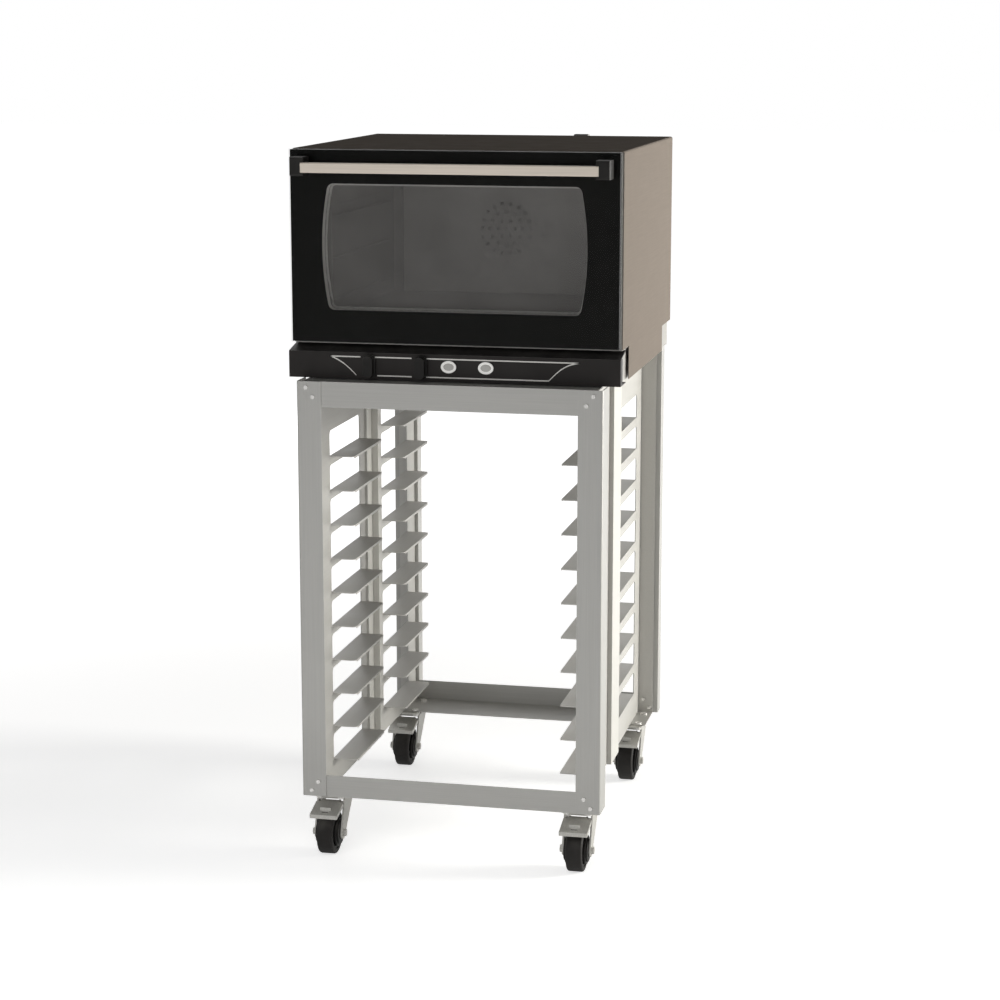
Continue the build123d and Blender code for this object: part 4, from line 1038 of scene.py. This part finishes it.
@dataclass
class Casters:
    """The four swivel casters with their brake pedals and hub caps."""

    cap_radius: float = 21.25 * MM
    cap_depth: float = 3.0 * MM
    cap_inset: float = 1.0 * MM
    cap_sides: int = 40
    rim_width: float = 5.1 * MM
    rim_rise: float = 0.6 * MM
    dish_border: float = 4.25 * MM
    dish_depth: float = 0.5 * MM
    rounding: float = 0.5 * MM

    def build(self) -> None:
        """Dress the casters, and copy the first wheel's caps to the others."""
        corners = [f"{end.value}_{side.value}" for end in End for side in Side]
        first = middle_of(f"caster_wheel_{corners[0]}")
        caps = [self.build_caps(corners[0])]
        for corner in corners[1:]:
            by = middle_of(f"caster_wheel_{corner}") - first
            caps.append(moved_copy(caps[0], f"hub_caps_{corner}", by))
        for corner, pair in zip(corners, caps):
            dress_node(f"caster_fork_{corner}", Finish.ZINC)
            dress_node(f"caster_wheel_{corner}", Finish.WHEEL)
            dress_node(f"caster_tyre_{corner}", Finish.TYRE)
            dress_node(f"caster_brake_{corner}", Finish.ZINC)
            hand_over(pair, f"wheel_{corner}", Finish.WHEEL)

    def build_caps(self, corner: str) -> Piece:
        """Two dished discs over a wheel's thread guards, one on each side.

        Args:
            corner: The wheel's end and side.

        Returns:
            The two as one piece.
        """
        node = f"caster_wheel_{corner}"
        middle = middle_of(node)
        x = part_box(node)[0].x + self.cap_inset + self.cap_depth / 2
        left = disc(
            "cap_left", (x, middle.y, middle.z), self.cap_radius, self.cap_depth, FACING_SIDE,
            self.cap_sides,
        )
        rings = ((self.rim_width, self.rim_rise), (self.dish_border, -self.dish_depth))
        dish(left, (-1.0, 0.0, 0.0), rings, self.rounding)
        right = turned_copy(left, "cap_right", middle)
        return join_pieces(f"hub_caps_{corner}", [left, right])


@dataclass
class OvenBody:
    """The casing, base, back and everything inside them."""

    screw_radius: float = 4.0 * MM
    screw_height: float = 1.8 * MM
    screw_inset: float = 12.0 * MM
    screw_sides: int = 20
    socket_border: float = 1.8 * MM
    socket_depth: float = 0.72 * MM
    rounding: float = 0.4 * MM

    def build(self) -> None:
        """Dress the oven's nodes and add the screws."""
        finishes = {
            "oven_casing": Finish.CASING,
            "back_panel": Finish.CASING,
            "exhaust_duct": Finish.BASE,
            "oven_base": Finish.BASE,
            "front_frame": Finish.CAVITY_PAINTED_SHADE,
            "cavity_liner": Finish.CAVITY_PAINTED_SHADE,
            "fan_baffle": Finish.BAFFLE_PAINTED_LIGHT,
            "tray_guides": Finish.CAVITY_PAINTED_SHADE,
            "insulation": Finish.WOOL,
            "fan_rotor": Finish.FAN,
            "fan_motor": Finish.MOTOR,
            "heating_element": Finish.ELEMENT,
            "cavity_lamp": Finish.LENS,
            "door_gasket": Finish.GASKET,
            "door_hinges": Finish.BRIGHT,
            "cable_gland": Finish.GLAND,
        }
        for node, choice in finishes.items():
            dress_node(node, choice)
        self.build_screws()

    def build_screws(self) -> None:
        """Pan-head screws round the back panel, copied from the first."""
        low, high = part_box("back_panel")
        y = high.y + self.screw_height / 2
        columns = [low.x + self.screw_inset, (low.x + high.x) / 2, high.x - self.screw_inset]
        rows = [low.z + self.screw_inset, high.z - self.screw_inset]
        places = [Vector((x, y, z)) for x in columns for z in rows]
        places += [Vector((x, y, (low.z + high.z) / 2)) for x in columns[::2]]
        head = disc(
            "screw_0", tuple(places[0]), self.screw_radius, self.screw_height, FACING_FRONT,
            self.screw_sides,
        )
        dish(head, (0.0, 1.0, 0.0), [(self.socket_border, -self.socket_depth)], self.rounding)
        heads = [head]
        for number, place in enumerate(places[1:], 1):
            heads.append(moved_copy(head, f"screw_{number}", place - places[0]))
        hand_over(join_pieces("back_screws", heads), ROOT, Finish.BRIGHT)


@dataclass
class Door:
    """The drop-down glass door."""

    def build(self) -> None:
        """Dress the door's nodes."""
        dress_node("door_outer_glass", Finish.TINTED)
        dress_node("door_inner_glass", Finish.CLEAR)
        dress_node("door_frame", Finish.ENAMEL)
        dress_node("door_liner", Finish.THROAT_PAINTED_LIGHT)
        dress_node("door_handle", Finish.HANDLE)
        dress_node("handle_brackets", Finish.BRACKET)


@dataclass
class Knobs:
    """The bar knobs of the timer and the thermostat."""

    skirt: float = 5.0 * MM
    sunk: float = 0.5 * MM
    sides: int = 48
    waist: float = 2.5 * MM
    rim_width: float = 1.2 * MM
    recess: float = 0.8 * MM
    rounding: float = 0.9 * MM

    def build(self) -> None:
        """Build the timer's knob, and copy it for the thermostat."""
        timer = self.build_knob("timer")
        by = middle_of("thermostat_knob") - middle_of("timer_knob")
        thermostat = moved_copy(timer, "thermostat_grip", by)
        hand_over(timer, "timer", Finish.KNOB, ["timer_knob"])
        hand_over(thermostat, "thermostat", Finish.KNOB, ["thermostat_knob"])

    def build_knob(self, which: str) -> Piece:
        """A bar knob with rounded ends, a waisted grip and a recessed face.

        Args:
            which: The knob's body.

        Returns:
            The knob.
        """
        low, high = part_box(f"{which}_knob")
        middle = (low + high) / 2
        radius = (high.x - low.x) / 2
        reach = (high.z - low.z) / 2 - radius
        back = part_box("control_panel")[0].y - self.sunk
        knob = disc(
            f"{which}_grip", (middle.x, back - self.skirt / 2, middle.z), radius, self.skirt,
            FACING_FRONT, self.sides,
        )
        enter_edit(knob)
        pick_points(knob, lambda point: point.z > middle.z + HAIR)
        shift((0.0, 0.0, reach))
        pick_points(knob, lambda point: point.z < middle.z - HAIR)
        shift((0.0, 0.0, -reach))
        pick_faces(knob, lambda face: looks_along(face, TO_FRONT))
        bpy.ops.mesh.inset(thickness=self.waist)
        draw_out((0.0, low.y - back + self.skirt, 0.0))
        bpy.ops.mesh.inset(thickness=self.rim_width)
        shift((0.0, self.recess, 0.0))
        leave_edit()
        soften(knob, self.rounding, 3)
        return knob


@dataclass
class PilotLamps:
    """Two oval lamps, each a white rim round a light grey lens."""

    half: float = 14.0 * MM
    sides: int = 56
    rim_width: float = 4.6 * MM
    rim_recess: float = 1.2 * MM
    rim_rounding: float = 0.5 * MM
    lens_sunk: float = 0.4 * MM
    lens_border: float = 2.5 * MM
    lens_rise: float = 0.3 * MM
    lens_rounding: float = 0.6 * MM

    def build(self) -> None:
        """Build the left rim and lens, and copy each to the right."""
        low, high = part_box("pilot_lamps")
        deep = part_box("control_panel")[0].y - low.y
        tall = (high.z - low.z) / 2
        centre = (low.x + self.half, low.y + deep / 2, (low.z + high.z) / 2)
        apart = (high.x - low.x - 2 * self.half, 0.0, 0.0)
        rim = self.oval("rim_left", centre, (self.half, tall), deep)
        dish(rim, TO_FRONT, [(self.rim_width, -self.rim_recess)], self.rim_rounding)
        within = (self.half - self.rim_width, tall - self.rim_width)
        lens = self.oval("lens_left", centre, within, deep - self.lens_sunk)
        dish(lens, TO_FRONT, [(self.lens_border, self.lens_rise)], self.lens_rounding)
        rims = join_pieces("pilot_rims", [rim, moved_copy(rim, "rim_right", apart)])
        hand_over(rims, ROOT, Finish.PILOT_RIM, ["pilot_lamps"])
        lenses = join_pieces("pilot_lenses", [lens, moved_copy(lens, "lens_right", apart)])
        hand_over(lenses, ROOT, Finish.PILOT_LENS)

    def oval(self, name: str, centre: Vec, halves: Range, depth: float) -> Piece:
        """Start a piece as an upright oval on the panel's face.

        Args:
            name: The piece's name.
            centre: Its middle.
            halves: Half its width and half its height.
            depth: How deep it is.

        Returns:
            The piece.
        """
        piece = disc(name, centre, halves[0], depth, FACING_FRONT, self.sides)
        enter_edit(piece)
        bpy.ops.mesh.select_all(action="SELECT")
        bpy.ops.transform.resize(value=(1.0, 1.0, halves[1] / halves[0]), center_override=centre)
        leave_edit()
        return piece


@dataclass
class Border:
    """The thin silver line round the controls, whose places are X and Z in millimetres."""

    width: float = 2.2 * MM
    height: float = 0.25 * MM
    start: float = 0.2 * MM
    near: float = 0.02 * MM
    top: float = 926.5
    top_runs: tuple[Range, ...] = ((-224.0, -169.0), (-145.0, -75.0), (-50.0, 228.0))
    bottom: float = 893.5
    bottom_runs: tuple[Range, ...] = ((-138.0, -75.0), (-50.0, 174.0))
    curls: tuple[Vec, ...] = ((-224.0, -177.0, 4.4), (228.0, 174.0, 7.3))
    curl_steps: int = 12

    def build(self) -> None:
        """Build the border as printed strips."""
        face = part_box("control_panel")[0].y
        runs = [[(left, self.top), (right, self.top)] for left, right in self.top_runs]
        runs += [[(left, self.bottom), (right, self.bottom)] for left, right in self.bottom_runs]
        runs += [self.curl(*curl) for curl in self.curls]
        strips = [self.strip(f"line_{number}", run, face) for number, run in enumerate(runs)]
        hand_over(join_pieces("panel_border", strips), ROOT, Finish.PRINT)

    def curl(self, above: float, below: float, bow: float) -> list[Range]:
        """Points along a curved end of the border, from its top line to its bottom line.

        Args:
            above: Where it leaves the top line, along X.
            below: Where it meets the bottom line, along X.
            bow: How far its middle rises above a straight line.

        Returns:
            The points.
        """
        points = []
        for step in range(self.curl_steps + 1):
            t = step / self.curl_steps
            x = above + (below - above) * t
            z = self.top + (self.bottom - self.top) * t
            points.append((x, z + math.sin(math.pi * t) * bow))
        return points

    def strip(self, name: str, run: Sequence[Range], face: float) -> Piece:
        """One printed line, drawn out from a short starting piece.

        Args:
            name: The strip's name.
            run: Its points.
            face: Where the panel's face is, along Y.

        Returns:
            The strip.
        """
        points = [Vector((x * MM, face - self.height / 2, z * MM)) for x, z in run]
        strip = block(name, tuple(points[0]), (self.start, self.height, self.width))
        sign = 1 if points[-1].x > points[0].x else -1
        enter_edit(strip)
        for before, after in zip(points, points[1:]):
            edge = before.x + sign * self.start / 2
            pick_faces(strip, lambda end, x=edge: self.is_end(end, x, sign))
            draw_out(after - before)
        leave_edit()
        return strip

    def is_end(self, face: Face, x: float, sign: int) -> bool:
        """Whether a face is the end of a strip that has grown to a place along X."""
        return abs(face.calc_center_median().x - x) < self.near and face.normal.x * sign > 0.7


@dataclass
class ControlPanel:
    """The control panel with its knobs, pilot lamps and printed border."""

    knobs: Knobs = field(default_factory=Knobs)
    pilots: PilotLamps = field(default_factory=PilotLamps)
    border: Border = field(default_factory=Border)

    def build(self) -> None:
        """Dress the panel and build what is on it."""
        dress_node("control_panel", Finish.PANEL)
        dress_node("control_switches", Finish.GLAND)
        self.knobs.build()
        self.pilots.build()
        self.border.build()


@dataclass(frozen=True)
class Lamp:
    """A soft square lamp, out of the camera's sight."""

    name: str
    place: Vec
    target: Vec
    power: float
    size: float
    colour: Colour = (1.0, 1.0, 1.0)
    mirrored: bool = True

    def build(self) -> None:
        """Hang the lamp and aim it."""
        light = bpy.data.lights.new(self.name, "AREA")
        light.energy = self.power
        light.size = self.size
        light.color = self.colour
        holder = bpy.data.objects.new(self.name, light)
        bpy.context.scene.collection.objects.link(holder)
        holder.location = self.place
        way = Vector(self.target) - Vector(self.place)
        holder.rotation_euler = way.to_track_quat("-Z", "Y").to_euler()
        holder.visible_camera = False
        holder.visible_glossy = self.mirrored


@dataclass
class Studio:
    """The floor, lights, world and camera.

    Polished faces see the floor and the world as white behind the object, and dim in front of it.
    """

    lamps: tuple[Lamp, ...] = (
        Lamp("key_light", (4.2, 0.95, 1.15), (0.0, 0.0, 0.75), 190.0, 1.2, (1.0, 0.985, 0.93)),
        Lamp("front_light", (-0.2, -1.65, 0.6), (-0.15, 0.0, 0.6), 14.5, 1.6, mirrored=False),
        Lamp("back_light", (-2.6, 4.4, 0.8), (0.0, 0.0, 0.7), 30.0, 1.4),
    )
    ambient: float = 0.14
    mirrored: float = 0.2
    world_behind: Range = (-0.3, 0.5)
    floor_behind: Range = (-1.0, 1.5)
    floor_size: float = 60.0
    floor_colour: Colour = (0.86, 0.86, 0.86)
    floor_roughness: float = 0.9
    floor_specular: float = 0.1
    floor_reach: Range = (0.7, 3.0)
    floor_glow: Range = (0.62, 0.9)
    camera_place: Vec = (0.99995, -4.49305, 1.51606)
    camera_pitch: float = 78.910
    camera_yaw: float = 12.319
    camera_reach: float = 100.0
    lens: float = 88.075
    sensor: float = 36.0

    def build(self) -> None:
        """Build the studio."""
        self.build_floor()
        self.build_world()
        for lamp in self.lamps:
            lamp.build()
        self.build_camera()

    def build_floor(self) -> None:
        """A wide pale floor that keeps the shadow and is whiter the farther out it is."""
        deselect()
        bpy.ops.mesh.primitive_plane_add(size=self.floor_size, location=(0.0, 0.0, 0.0))
        floor = settle("floor")
        material, shader = principled("pale_floor")
        shader.inputs["Base Color"].default_value = opaque(self.floor_colour)
        shader.inputs["Roughness"].default_value = self.floor_roughness
        shader.inputs["Specular IOR Level"].default_value = self.floor_specular
        shader.inputs["Emission Color"].default_value = WHITE
        sheet = Sheet(material.node_tree)
        path = sheet.node("ShaderNodeLightPath")
        place = sheet.node("ShaderNodeTexCoord").outputs["Object"]
        split = sheet.node("ShaderNodeSeparateXYZ")
        sheet.join(place, split.inputs[0])
        behind = sheet.spread(split.outputs["Y"], self.floor_behind, (self.mirrored, 1.0), Easing.SMOOTH)
        mirror = sheet.maths("MULTIPLY", path.outputs["Is Glossy Ray"], behind)
        seen = sheet.maths("MAXIMUM", path.outputs["Is Camera Ray"], mirror)
        reach = sheet.node("ShaderNodeVectorMath", operation="LENGTH")
        sheet.join(place, reach.inputs[0])
        glow = sheet.spread(reach.outputs["Value"], self.floor_reach, self.floor_glow, Easing.SMOOTH)
        sheet.join(sheet.maths("MULTIPLY", seen, glow), shader.inputs["Emission Strength"])
        floor.data.materials.append(material)

    def build_world(self) -> None:
        """A dim even light that the camera and glass see as white."""
        world = bpy.data.worlds.new("studio")
        bpy.context.scene.world = world
        world.use_nodes = True
        background = world.node_tree.nodes["Background"]
        background.inputs["Color"].default_value = WHITE
        sheet = Sheet(world.node_tree)
        path = sheet.node("ShaderNodeLightPath")
        way = sheet.node("ShaderNodeTexCoord")
        split = sheet.node("ShaderNodeSeparateXYZ")
        sheet.join(way.outputs["Generated"], split.inputs[0])
        behind = sheet.spread(split.outputs["Y"], self.world_behind, (self.mirrored, 1.0), Easing.SMOOTH)
        mirror = sheet.maths("MULTIPLY", path.outputs["Is Glossy Ray"], behind)
        shown = sheet.maths("MAXIMUM", path.outputs["Is Camera Ray"], path.outputs["Is Transmission Ray"])
        seen = sheet.maths("MAXIMUM", shown, mirror)
        sheet.join(sheet.maths("MAXIMUM", seen, self.ambient), background.inputs["Strength"])

    def build_camera(self) -> None:
        """The camera at the photograph's place."""
        data = bpy.data.cameras.new("camera")
        data.sensor_width = self.sensor
        data.lens = self.lens
        data.clip_end = self.camera_reach
        camera = bpy.data.objects.new("camera", data)
        bpy.context.scene.collection.objects.link(camera)
        camera.location = self.camera_place
        camera.rotation_euler = (math.radians(self.camera_pitch), 0.0, math.radians(self.camera_yaw))
        bpy.context.scene.camera = camera


def main() -> None:
    """Build the studio and every sub-assembly."""
    logging.basicConfig(level=logging.INFO, format="%(name)s: %(message)s")
    bpy.context.scene.view_settings.view_transform = "Standard"
    for assembly in (Studio(), Stand(), Casters(), OvenBody(), Door(), ControlPanel()):
        assembly.build()
        LOG.info("%s is built", type(assembly).__name__)


if __name__ == "__main__":
    main()
